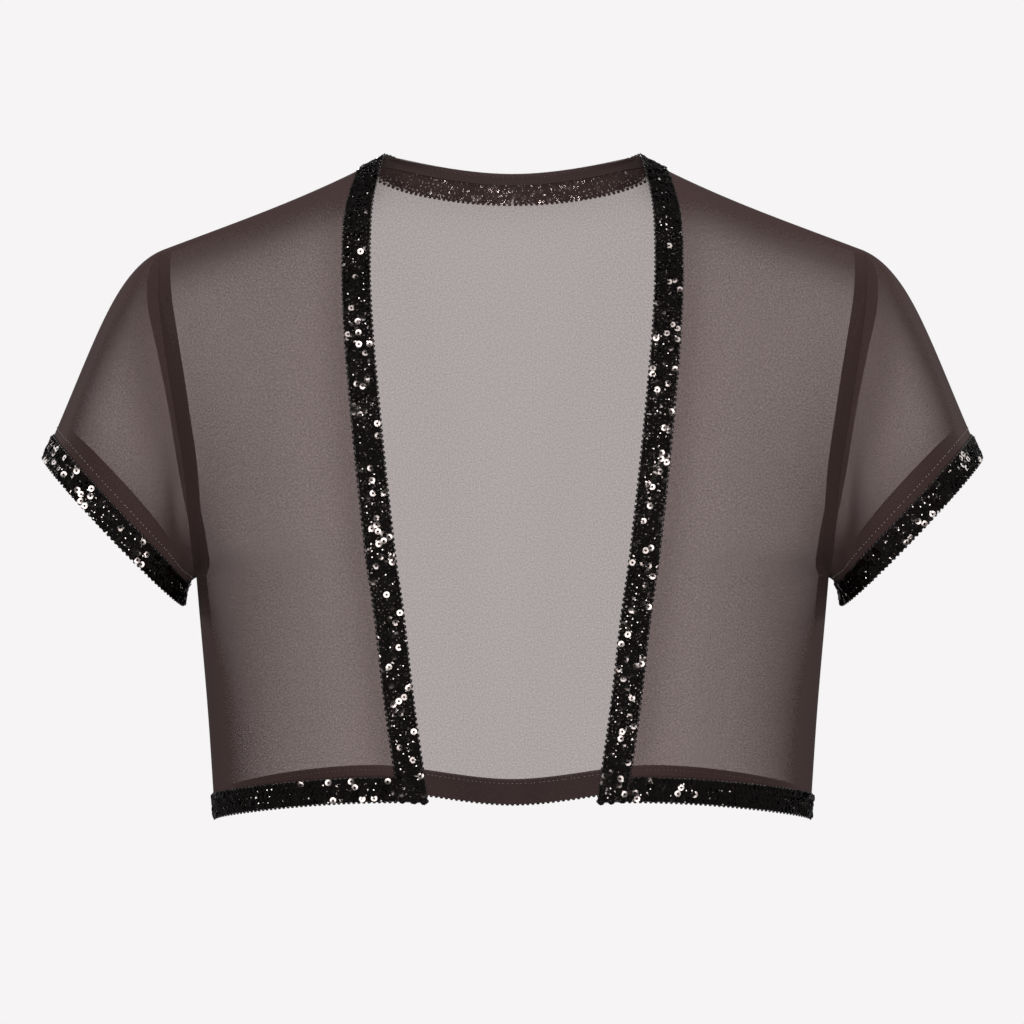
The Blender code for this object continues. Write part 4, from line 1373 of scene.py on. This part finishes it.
@dataclass(frozen=True)
class CutBead:
    """A bead of flat faces, wider in the middle than at its flat ends, in millimetres."""

    width: float = 1.15
    height: float = 0.9
    end_share: float = 0.33
    sides: int = 6

    def mesh(self, finish: bpy.types.Material) -> bpy.types.Mesh:
        """Return the closed bead."""
        end = self.end_share * self.width
        rings = np.concatenate([ring(self.sides, radius, level) for radius, level in (
            (end, self.height / 2), (self.width / 2, 0.0), (end, -self.height / 2))])
        numbers = list(range(len(rings)))
        ends = [numbers[:self.sides][::-1], numbers[-self.sides:]]
        mesh = bpy.data.meshes.new("cut_bead")
        around = indexed_faces(3, self.sides, True).tolist()
        mesh.from_pydata((rings * MILLIMETRE).tolist(), [], around + ends)
        face_outwards(mesh)
        mesh.materials.append(finish)
        return mesh


class Scatter:
    """Geometry Nodes that put a small shape on every point of a piece and make it real."""

    def __init__(self) -> None:
        """Build the node tree once, for all pieces."""
        tree = bpy.data.node_groups.new("Sewn on points", "GeometryNodeTree")
        tree.is_modifier = True
        face = tree.interface
        face.new_socket("Geometry", in_out="INPUT", socket_type="NodeSocketGeometry")
        self.shape_socket = face.new_socket("Shape", in_out="INPUT", socket_type="NodeSocketObject")
        face.new_socket("Geometry", in_out="OUTPUT", socket_type="NodeSocketGeometry")
        start = tree.nodes.new("NodeGroupInput")
        end = tree.nodes.new("NodeGroupOutput")
        info = tree.nodes.new("GeometryNodeObjectInfo")
        place = tree.nodes.new("GeometryNodeInstanceOnPoints")
        real = tree.nodes.new("GeometryNodeRealizeInstances")
        turn = tree.nodes.new("GeometryNodeInputNamedAttribute")
        turn.data_type = "FLOAT_VECTOR"
        turn.inputs["Name"].default_value = "turn"
        rotation = tree.nodes.new("FunctionNodeEulerToRotation")
        linked(tree, start.outputs["Geometry"], place.inputs["Points"])
        linked(tree, start.outputs["Shape"], info.inputs["Object"])
        linked(tree, info.outputs["Geometry"], place.inputs["Instance"])
        linked(tree, turn.outputs["Attribute"], rotation.inputs["Euler"])
        linked(tree, rotation.outputs["Rotation"], place.inputs["Rotation"])
        linked(tree, place.outputs["Instances"], real.inputs["Geometry"])
        linked(tree, real.outputs["Geometry"], end.inputs["Geometry"])
        self.tree = tree

    def sewn(self, name: str, points: Array, across: Array, outward: Array,
             shape: bpy.types.Mesh) -> bpy.types.Object:
        """Make one real piece with a shape on every point.

        Args:
            name: the piece's name.
            points: in millimetres.
            across: the direction of the shape's X at each point.
            outward: the direction of the shape's Z at each point.
            shape: the small mesh.

        Returns:
            The new object, a plain mesh.
        """
        forward = unit(across - outward * np.sum(across * outward, axis=1, keepdims=True))
        aside = np.cross(outward, forward)
        angles = euler_angles(forward, aside, outward)
        mesh = bpy.data.meshes.new(name + "_points")
        mesh.from_pydata((points * MILLIMETRE).tolist(), [], [])
        attribute = mesh.attributes.new("turn", "FLOAT_VECTOR", "POINT")
        attribute.data.foreach_set("vector", angles.ravel())
        holder = link(name + "_points", mesh)
        model = link(name + "_model", shape)
        modifier = holder.modifiers.new("Sewn", "NODES")
        modifier.node_group = self.tree
        modifier[self.shape_socket.identifier] = model
        graph = bpy.context.evaluated_depsgraph_get()
        made = bpy.data.meshes.new_from_object(holder.evaluated_get(graph))
        made.name = name
        if not made.materials:
            for finish in shape.materials:
                made.materials.append(finish)
        bpy.data.objects.remove(holder, do_unlink=True)
        bpy.data.objects.remove(model, do_unlink=True)
        return link(name, made)


def euler_angles(x_axis: Array, y_axis: Array, z_axis: Array) -> Array:
    """Return XYZ Euler angles of frames given by their three unit axes."""
    pitch = np.arcsin(np.clip(-x_axis[:, 2], -1.0, 1.0))
    roll = np.arctan2(y_axis[:, 2], z_axis[:, 2])
    yaw = np.arctan2(x_axis[:, 1], x_axis[:, 0])
    return np.stack((roll, pitch, yaw), axis=1)


@dataclass
class TrimBand:
    """A length of sequin trim: a net with two layers of sequins, beads in their gaps, beaded edges.

    The patch's columns run along the trim and its rows across it. Lengths are in millimetres.
    """

    name: str
    patch: Patch
    seed: int
    ends_open: bool
    lit_share: float
    looks: Looks
    scatter: Scatter
    lit_beads: float = 0.11
    net_height: float = 0.5
    net_thickness: float = 0.2
    net_margin: float = 0.6
    open_end: float = 0.6
    open_end_steps: float = 0.35
    lead_steps: float = 0.25
    least_along: float = 1.0
    short_of_end: float = 0.3
    margin_kept: float = 0.85
    bead_aside: float = 0.45
    bead_border: float = 0.06
    bead_short: float = 0.8
    bead_lie: Lie = Lie(lowest=0.85, highest=1.05, tilt=89.0)
    edge_pitch: float = 2.85
    edge_in: float = 0.3
    edge_bead: tuple[float, float, float] = (2.2, 1.9, 1.0)

    def __post_init__(self) -> None:
        """Measure the trim along its middle and across, and start its random draws."""
        middle = self.patch.points.mean(axis=0)
        if self.patch.closed:
            middle = np.concatenate((middle, middle[:1]))
        across = np.linalg.norm(np.diff(self.patch.points, axis=0), axis=2).sum(axis=0)
        self.length = float(lengths_along(middle)[-1])
        self.width = float(np.median(across))
        self.draw = np.random.default_rng(self.seed)

    def sampled(self, along: Array, share: Array) -> tuple[Array, Array, Array]:
        """Return points, normals and directions along the trim.

        Args:
            along: lengths from the first column, in millimetres.
            share: places across, from 0 to 1.
        """
        points = self.patch.points.transpose(1, 0, 2)
        normals = self.patch.normals.transpose(1, 0, 2)
        if self.patch.closed:
            points = np.concatenate((points, points[:1]))
            normals = np.concatenate((normals, normals[:1]))
        middle = lengths_along(points.mean(axis=1))
        row = np.interp(along, middle, np.arange(len(middle)))
        low = np.clip(row.astype(int), 0, len(points) - 2)
        part = (row - low)[:, None]
        column = share * (points.shape[1] - 1)
        left = np.clip(column.astype(int), 0, points.shape[1] - 2)
        side = (column - left)[:, None]

        def mixed(grid: Array) -> Array:
            """Return a grid's values at the places."""
            first = grid[low, left] * (1 - side) + grid[low, left + 1] * side
            second = grid[low + 1, left] * (1 - side) + grid[low + 1, left + 1] * side
            return first * (1 - part) + second * part

        ahead = points[low + 1, left] - points[low, left]
        return mixed(points), unit(mixed(normals)), unit(ahead)

    def build(self) -> None:
        """Make the net and everything sewn on it, for the node of the trim's name."""
        band = self.patch.drawn_in(first_row=self.net_margin, last_row=self.net_margin)
        net = shell(self.name + "_net", band.moved_out(self.net_height), self.net_thickness,
                    self.looks.net)
        sewn_on = [
            self.build_sequins("low_sequins", LOWER),
            self.build_sequins("sequins", UPPER),
            self.build_beads(),
            self.build_edges(),
        ]
        for piece in [net] + sewn_on:
            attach(piece, "root")
            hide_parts(self.name)
        LOG.info("%s: %.0f mm of trim %.1f mm wide", self.name, self.length, self.width)

    def build_sequins(self, word: str, layer: SequinLayer) -> bpy.types.Object:
        """Return one layer of sequins, with a word for it in the piece's name."""
        along, share = self.staggered(layer)
        centres, ahead, _, outward = self.laid(layer.lie, along, share)
        centres, outward = self.some_lit(centres, outward, along, share, self.lit_share)
        return self.scatter.sewn(f"{self.name}_{word}", centres, ahead, outward,
                                 layer.shape.mesh(self.looks))

    def build_beads(self) -> bpy.types.Object:
        """Return the cut beads in the gaps between the upper sequins, two for each of them."""
        gap = self.bead_aside * (UPPER.pitch_across / self.width)
        along, share = self.staggered(UPPER)
        places = np.concatenate((along + UPPER.pitch_along / 2, along))
        shares = np.concatenate((share + gap, share - gap))
        inside = (shares > self.bead_border) & (shares < 1 - self.bead_border)
        inside &= places < self.length - self.bead_short
        places, shares = places[inside], shares[inside]
        centres, ahead, aside, facing = self.laid(self.bead_lie, places, shares)
        centres, facing = self.some_lit(centres, facing, places, shares, self.lit_beads)
        spin = self.draw.uniform(0.0, 2 * math.pi, len(centres))[:, None]
        across = ahead * np.cos(spin) + aside * np.sin(spin)
        return self.scatter.sewn(self.name + "_beads", centres, across, facing,
                                 CutBead().mesh(self.looks.bead))

    def some_lit(self, centres: Array, outward: Array, along: Array, share: Array,
                 part: float) -> tuple[Array, Array]:
        """Turn some pieces, in clusters, so that they mirror the key lamp, their undersides behind.

        Args:
            centres: where the pieces lie.
            outward: the way that each faces.
            along: their places along the trim, in millimetres.
            share: their places across, from 0 to 1.
            part: the part of them that is turned, more at the back of the neck.

        Returns:
            The centres, the lit ones raised clear of their neighbours, and the ways they face.
        """
        _, normals, _ = self.sampled(along, share)
        mirror = unit(unit(KEY_PLACE - centres) + unit(VIEW_PLACE - centres))
        towards = np.sum(normals * mirror, axis=1)
        stretches = int(self.length / SPARKLE.stretch) + 2
        crowd = self.draw.uniform(0.0, 1.0, stretches) ** 2 * SPARKLE.most
        chance = part * np.interp(along, np.arange(stretches) * SPARKLE.stretch, crowd)
        chance = np.where(towards < 0.0, chance * SPARKLE.behind, chance)
        lit = self.draw.uniform(0.0, 1.0, len(along)) < chance
        lit = (lit & (np.abs(towards) > SPARKLE.least_facing))[:, None]
        loose = self.draw.uniform(-SPARKLE.looseness, SPARKLE.looseness, centres.shape)
        near_mirror = unit(mirror * np.sign(towards)[:, None] + loose)
        raised = centres + normals * np.where(towards > 0.0, SPARKLE.lift, 0.0)[:, None]
        return np.where(lit, raised, centres), np.where(lit, near_mirror, outward)

    def staggered(self, layer: SequinLayer) -> tuple[Array, Array]:
        """Return places along and across for lines of sequins, every other line half a step on."""
        length, width = self.length, self.width
        end, spare = (self.open_end, self.open_end_steps) if self.ends_open else (0.0, 0.0)
        margin = layer.margin / width
        lines = max(2, int(round((width - 2 * layer.margin) / layer.pitch_across)) + 1)
        count = int(round((length - 2 * end) / layer.pitch_along))
        along = []
        share = []
        for line in range(lines):
            steps = np.arange(count) + self.lead_steps + (line % 2) / 2
            steps = steps * (length - 2 * end) / (count - spare) + end
            along.append(steps + self.draw.uniform(-layer.jitter, layer.jitter, count))
            place = margin + (1 - 2 * margin) * line / (lines - 1)
            share.append(place + self.draw.uniform(-layer.jitter, layer.jitter, count) / width)
        least = margin * self.margin_kept
        along = np.clip(np.concatenate(along), self.least_along, length - self.short_of_end)
        return along, np.clip(np.concatenate(share), least, 1.0 - least)

    def laid(self, lie: Lie, along: Array, share: Array) -> tuple[Array, Array, Array, Array]:
        """Return centres, the two ways along the trim's face, and the way that each shape faces."""
        points, normals, ahead = self.sampled(along, share)
        tilt = np.radians(lie.tilt) * np.sqrt(self.draw.uniform(0.0, 1.0, len(points)))
        way = self.draw.uniform(0.0, 2 * math.pi, len(points))
        aside = np.cross(normals, ahead)
        lean = ahead * np.cos(way)[:, None] + aside * np.sin(way)[:, None]
        outward = unit(normals * np.cos(tilt)[:, None] + lean * np.sin(tilt)[:, None])
        height = self.draw.uniform(lie.lowest, lie.highest, len(points))[:, None]
        return points + normals * height, ahead, aside, outward

    def build_edges(self) -> bpy.types.Object:
        """Return the small beads along both edges."""
        count = int(round(self.length / self.edge_pitch))
        steps = (np.arange(count) + 0.5) * self.length / count
        sides = []
        for share in (0.0, 1.0):
            points, normals, ahead = self.sampled(steps, np.full(count, share))
            aside = np.cross(normals, ahead)
            inner, _, _ = self.sampled(steps, np.full(count, 0.5))
            away = np.sign(np.sum((points - inner) * aside, axis=1, keepdims=True))
            sides.append((points + normals * self.net_height - aside * away * self.edge_in,
                          ahead, normals))
        places, ahead, outward = (np.concatenate(column) for column in zip(*sides))
        bead = bead_mesh("edge_bead", self.edge_bead, self.looks.edge)
        return self.scatter.sewn(self.name + "_edges", places, ahead, unit(outward), bead)


# The garment


class ClothPlan:
    """The fine patches that every piece of the garment is taken from, on the wearer's left."""

    def __init__(self) -> None:
        """Work out the patches of the front, half of the back and the sleeve."""
        front_lines, back_lines = BodyLines(FRONT), BodyLines(BACK)
        self.grid = BodyGrid.planned(is_front=True)
        back_grid = BodyGrid.planned(is_front=False)
        self.front, front_v = body_patch(FRONT, self.grid, front_lines)
        self.back, back_v = body_patch(BACK, back_grid, back_lines)
        under = self.grid.underarm_row
        turns, places = SLEEVE.grid(front_v[under:, 0], back_v[under:, 0])
        self.sleeve = SLEEVE.patch(turns, places)
        folded = SLEEVE.before_cuff(turns[0], np.linspace(CUT.cuff_turned, CUT.gap, DENSITY.cuff_rows))
        self.cuff_fold = SLEEVE.patch(np.tile(turns[0], (len(folded), 1)), folded)
        share_armhole_normals(self.front, self.back, self.sleeve, len(front_v) - 1 - under)
        self.neck = NeckEdge()


@dataclass(frozen=True)
class Gathered:
    """Painted shade at a line: how much more of the net its yarn covers there, falling off over a
    width in millimetres.
    """

    most: float
    width: float
    full: float = 0.0

    def at(self, distance: Array) -> Array:
        """Return the painted shade, as added cover, at some distances from the line."""
        return self.most * np.exp(-(np.maximum(distance - self.full, 0.0) / self.width) ** 2)


class Closeness:
    """Painted shade: the net's yarn covers more beside the trims, seams and underarms, darkening them.

    The lines of the top and head of a sleeve have a stretch of full painted shade beside them. How
    fast the net closes as it turns away is set per piece, and lowered near the underarm and the
    sleeve's underside, which paints those places lighter.
    """

    front_at_trim = Gathered(0.235, 11.3)
    front_at_armhole = Gathered(0.07, 16.9)
    front_at_shoulder = Gathered(0.52, 18.3)
    back_at_shoulder = Gathered(0.36, 18.3)
    back_at_neck = Gathered(0.22, 20.0)
    neck_half_width = 60.0
    neck_edge_run = 22.0
    sleeve_at_top = Gathered(0.3, 21.6, full=6.0)
    sleeve_at_head = Gathered(0.2, 16.0, full=7.0)
    # Painted shade: darker towards the underside of the sleeve
    sleeve_underneath = Gathered(0.4, 38.0)
    sleeve_at_cuff = Gathered(0.14, 17.0)
    sleeve_all_over = 0.03
    body_closing = 1.1
    body_less = Gathered(0.75, 45.0)
    sleeve_closing = 0.4
    sleeve_less = Gathered(0.32, 60.0)
    out_of_reach = 99.0
    level = np.array((1.0, 0.0, 1.0))

    def __init__(self, plan: ClothPlan) -> None:
        """Note the lines on the wearer's left."""
        grid = plan.grid
        under = grid.underarm_row
        self.border = plan.front.points[:, grid.border_column]
        self.armhole = plan.front.points[under:, grid.turning_column]
        self.underarm = self.armhole[0]
        self.neck_edge = plan.neck.strip(0.0, CUT.neck_fold).points[:, 0]
        self.shoulder = shoulder_line(np.linspace(1.0, 0.0, DENSITY.shoulder_points))
        self.sleeve_top = plan.sleeve.points[:, 0]
        self.sleeve_head = plan.sleeve.points[0]
        self.cuff = plan.sleeve.points[DENSITY.sleeve]
        self.underside = SLEEVE.cuff(np.array((180.0,)))

    def front(self, points: Array) -> Array:
        """Return the painted shade, as added cover, at points of a front."""
        aside, height = np.abs(points[..., 0]), points[..., 2]
        from_border = aside - np.interp(height, self.border[:, 2], self.border[:, 0])
        from_armhole = np.interp(height, self.armhole[:, 2], self.armhole[:, 0]) - aside
        from_armhole = np.where(height < self.underarm[2], self.out_of_reach, from_armhole)
        return (self.front_at_trim.at(from_border) + self.front_at_armhole.at(from_armhole)
                + self.front_at_shoulder.at(self.below_shoulder(points)))

    def back(self, points: Array) -> Array:
        """Return the painted shade, as added cover, at points of the back."""
        aside = np.abs(points[..., 0])
        outside_neck = soft_step((aside - self.neck_half_width) / self.neck_edge_run)
        return (self.back_at_shoulder.at(self.below_shoulder(points)) * outside_neck
                + self.back_at_neck.at(nearest(points, self.neck_edge)))

    def sleeve(self, points: Array) -> Array:
        """Return the painted shade, as added cover, at points of a sleeve."""
        return (self.sleeve_at_top.at(nearest(points, self.sleeve_top))
                + self.sleeve_at_head.at(nearest(points, self.sleeve_head))
                + self.sleeve_underneath.at(nearest(points * self.level, self.underside))
                + self.sleeve_at_cuff.at(nearest(points, self.cuff)) + self.sleeve_all_over)

    def body_slant(self, points: Array) -> Array:
        """Return how fast a body panel's net closes as it turns away, lowered near the underarm to
        paint it lighter.
        """
        return self.body_closing - self.body_less.at(nearest(points, self.underarm[None]))

    def sleeve_slant(self, points: Array) -> Array:
        """Return how fast a sleeve's net closes as it turns away, lowered towards the underside to
        paint it lighter.
        """
        return self.sleeve_closing - self.sleeve_less.at(nearest(points * self.level, self.underside))

    def below_shoulder(self, points: Array) -> Array:
        """Return how far points lie below the shoulder seam."""
        line = np.interp(np.abs(points[..., 0]), self.shoulder[:, 0], self.shoulder[:, 2])
        return line - points[..., 2]


def nearest(points: Array, line: Array) -> Array:
    """Return the distances of points, on either side of the body, from the nearest point of a line."""
    left = points * np.where(points[..., :1] < 0.0, (-1.0, 1.0, 1.0), (1.0, 1.0, 1.0))
    return np.linalg.norm(left[..., None, :] - line, axis=-1).min(axis=-1)


@dataclass
class Cloth:
    """The five pieces cut from sheer mesh: the back, two fronts and two sleeves."""

    plan: ClothPlan
    looks: Looks
    seam: float = 0.05
    back_cut: tuple[float, float] = (0.47, 0.36)
    front_cut: tuple[float, float] = (0.17, 0.36)
    sleeve_cut: tuple[float, float] = (0.36, 0.17)
    pieces: dict[str, bpy.types.Object] = field(default_factory=dict)
    areas: dict[str, float] = field(default_factory=dict)

    def build(self) -> None:
        """Make the five shells."""
        half_back = self.plan.back.drawn_in(first_row=CUT.gap, last_row=self.seam,
                                            first_column=self.seam)
        whole_back = half_back.beside(half_back.on(Side.RIGHT).columns_back())
        # Painted shade beside the trims, seams and underarms, carried in each shell's Cover map as
        # added yarn cover
        edge_shade = Closeness(self.plan)
        self.add("back", whole_back, edge_shade.back(whole_back.points),
                 edge_shade.body_slant(whole_back.points))
        for side in Side:
            front = self.plan.front.drawn_in(first_row=CUT.gap, last_row=self.seam,
                                             first_column=self.seam, last_column=CUT.gap).on(side)
            self.add(f"front_{side.word}", front, edge_shade.front(front.points),
                     edge_shade.body_slant(front.points))
            sleeve = self.plan.sleeve.drawn_in(first_row=self.seam, last_row=CUT.gap).on(side)
            self.add(f"sleeve_{side.word}", sleeve, edge_shade.sleeve(sleeve.points),
                     edge_shade.sleeve_slant(sleeve.points))

    def add(self, node: str, patch: Patch, painted_shade: Array, slant: Array) -> None:
        """Make one piece of cloth for a node."""
        piece = shell("cloth_" + node, patch, CUT.cloth_thickness, self.looks.mesh, painted_shade, slant)
        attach(piece, "root")
        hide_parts(node)
        self.pieces[node] = piece
        self.areas[node] = flat_area(patch)
        LOG.info("cloth_%s: %.4f m2", node, self.areas[node])


@dataclass
class Turnings:
    """Cloth turned in at the seams and folded up behind the trims, seen through the mesh."""

    plan: ClothPlan
    looks: Looks
    depth: float = 0.9
    thickness: float = 0.3
    over_seam: float = 0.5
    above_trim: float = 1.2
    neck_start: float = 0.06
    pieces: dict[str, bpy.types.Object] = field(default_factory=dict)

    def build(self) -> None:
        """Make every turned-in piece on both sides."""
        front, back, grid = self.plan.front, self.plan.back, self.plan.grid
        turn = slice(0, grid.turning_column + 1)
        arm = slice(grid.underarm_row, None)
        armhole = front.part(arm, turn).before(back.part(arm, turn).rows_back())
        armhole = armhole.drawn_in(first_row=CUT.gap, last_row=CUT.gap, first_column=-self.over_seam)
        low = slice(grid.trim_row, grid.underarm_row + 1)
        side_seam = front.part(low, turn).columns_back().beside(back.part(low, turn))
        side_seam = side_seam.drawn_in(first_row=self.above_trim + CUT.gap, last_row=CUT.gap)
        across = slice(grid.turning_column, grid.border_column + 1)
        top = slice(grid.shoulder_row, None)
        shoulder = front.part(top, across).before(back.part(top, across).rows_back())
        shoulder = shoulder.drawn_in(first_column=CUT.gap)
        for name, patch, finish in (("armhole_seam", armhole, self.looks.arm),
                                    ("side_seam", side_seam, self.looks.side),
                                    ("cuff_fold", self.plan.cuff_fold, self.looks.fold),
                                    ("shoulder_seam", shoulder, self.looks.shoulder)):
            for side in Side:
                self.add(f"{name}_{side.word}", patch.on(side), finish)
        hem = slice(0, grid.trim_row + 1)
        half = front.part(hem).columns_back().beside(back.part(hem))
        half = half.drawn_in(first_row=CUT.gap, last_row=-self.above_trim)
        self.hem_fold = half.beside(half.on(Side.RIGHT).columns_back())
        self.add("hem_fold", self.hem_fold, self.looks.fold)
        half_neck = self.plan.neck.strip(0.0, CUT.neck_fold, first=self.neck_start)
        neck = half_neck.before(half_neck.on(Side.RIGHT).rows_back())
        self.add("neck_fold", neck, self.looks.fold)

    def add(self, node: str, patch: Patch, finish: bpy.types.Material) -> None:
        """Make one turned-in piece for a node."""
        piece = shell("turned_" + node, patch.moved_out(-self.depth), self.thickness, finish)
        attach(piece, "root")
        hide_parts(node)
        self.pieces[node] = piece
        LOG.info("turned_%s", node)


def along_line(steps: Array, lengths: Array, values: Array) -> Array:
    """Return a line's values, three for each point, at some lengths along it."""
    return np.stack([np.interp(steps, lengths, values[:, axis]) for axis in range(3)], axis=1)


@dataclass
class Trims:
    """Sequin trim up the fronts and round the neck, round the hem and round each cuff."""

    plan: ClothPlan
    looks: Looks
    scatter: Scatter
    hem_fold: Patch
    hem_seed: int = 33
    front_seed: int = 11
    cuff_seed: int = 21
    stitch_seed: int = 41
    lit_hem: float = 0.09
    lit_fronts: float = 0.028
    lit_cuffs: float = 0.07
    centre_gap: float = 0.02
    stitch_in: float = 2.6
    stitch_pitch: float = 2.5
    stitch_outside: float = 0.4
    stitch_inside: float = -1.3
    stitch_size: tuple[float, float, float] = (1.0, 0.6, 0.4)
    stitch_spots: tuple[float, float] = (0.3, 0.7)
    direction_step: float = 0.2

    def build(self) -> None:
        """Make the five lengths of trim."""
        front, back, grid = self.plan.front, self.plan.back, self.plan.grid
        edge = front.part(slice(None), slice(grid.border_column, None)).columns_back()
        neck = self.plan.neck.strip(CUT.neck_trim_drop, CUT.front_trim)
        whole = edge.before(neck).drawn_in(last_row=self.centre_gap).turned_over()
        hem = slice(0, grid.trim_row + 1)
        low_front = front.part(hem, slice(None, grid.border_column + 1)).columns_back()
        half = low_front.drawn_in(first_column=CUT.gap).beside(back.part(hem))
        round_hem = half.beside(half.on(Side.RIGHT).columns_back())
        cuff = self.plan.sleeve.part(slice(DENSITY.sleeve, None))
        bands = [("trim_hem", round_hem, self.hem_seed, True, self.lit_hem)]
        for number, side in enumerate(Side):
            bands.append((f"trim_front_neck_{side.word}", whole.on(side), self.front_seed + number,
                          True, self.lit_fronts))
            bands.append((f"trim_cuff_{side.word}", cuff.on(side), self.cuff_seed + number,
                          False, self.lit_cuffs))
        for name, patch, seed, ends_open, lit_share in bands:
            TrimBand(name, patch, seed, ends_open, lit_share, self.looks, self.scatter).build()
        both = (self.stitch_outside, self.stitch_inside)
        for side in Side:
            self.stitch(f"cuff_fold_{side.word}", self.plan.cuff_fold.on(side).rows_back(), both)
        self.stitch("hem_fold", self.hem_fold, (self.stitch_inside,))

    def stitch(self, node: str, patch: Patch, heights: tuple[float, ...]) -> None:
        """Sew a line of small stitches along the last row of a folded piece.

        Args:
            node: the folded piece's node.
            patch: its cloth.
            heights: how far out the stitches lie, once for each side of the cloth that shows them.
        """
        line, outward = patch.drawn_in(last_row=self.stitch_in).points[-1], patch.normals[-1]
        if patch.closed:
            line, outward = np.concatenate((line, line[:1])), np.concatenate((outward, outward[:1]))
        lengths = lengths_along(line)
        count = int(lengths[-1] / self.stitch_pitch)
        draw = np.random.default_rng(self.stitch_seed)
        spots = draw.uniform(*self.stitch_spots, count)
        steps = (np.arange(count) + spots) * lengths[-1] / count
        places = along_line(steps, lengths, line)
        ahead = along_line(steps + self.direction_step, lengths, line) - places
        facing = unit(along_line(steps, lengths, outward))
        stitch = bead_mesh("stitch", self.stitch_size, self.looks.thread)
        sides = np.concatenate([places + facing * height for height in heights])
        again = (len(heights), 1)
        piece = self.scatter.sewn("stitches_" + node, sides, np.tile(ahead, again),
                                  np.tile(facing, again), stitch)
        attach(piece, "root")
        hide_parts(node)


# The whole scene


def main() -> None:
    """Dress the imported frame."""
    logging.basicConfig(level=logging.INFO, format="%(name)s: %(message)s")
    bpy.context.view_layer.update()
    CAMERA.build()
    Studio().build()
    looks = Looks()
    plan = ClothPlan()
    cloth = Cloth(plan, looks)
    cloth.build()
    turnings = Turnings(plan, looks)
    turnings.build()
    Trims(plan, looks, Scatter(), turnings.hem_fold).build()


if __name__ == "__main__":
    main()
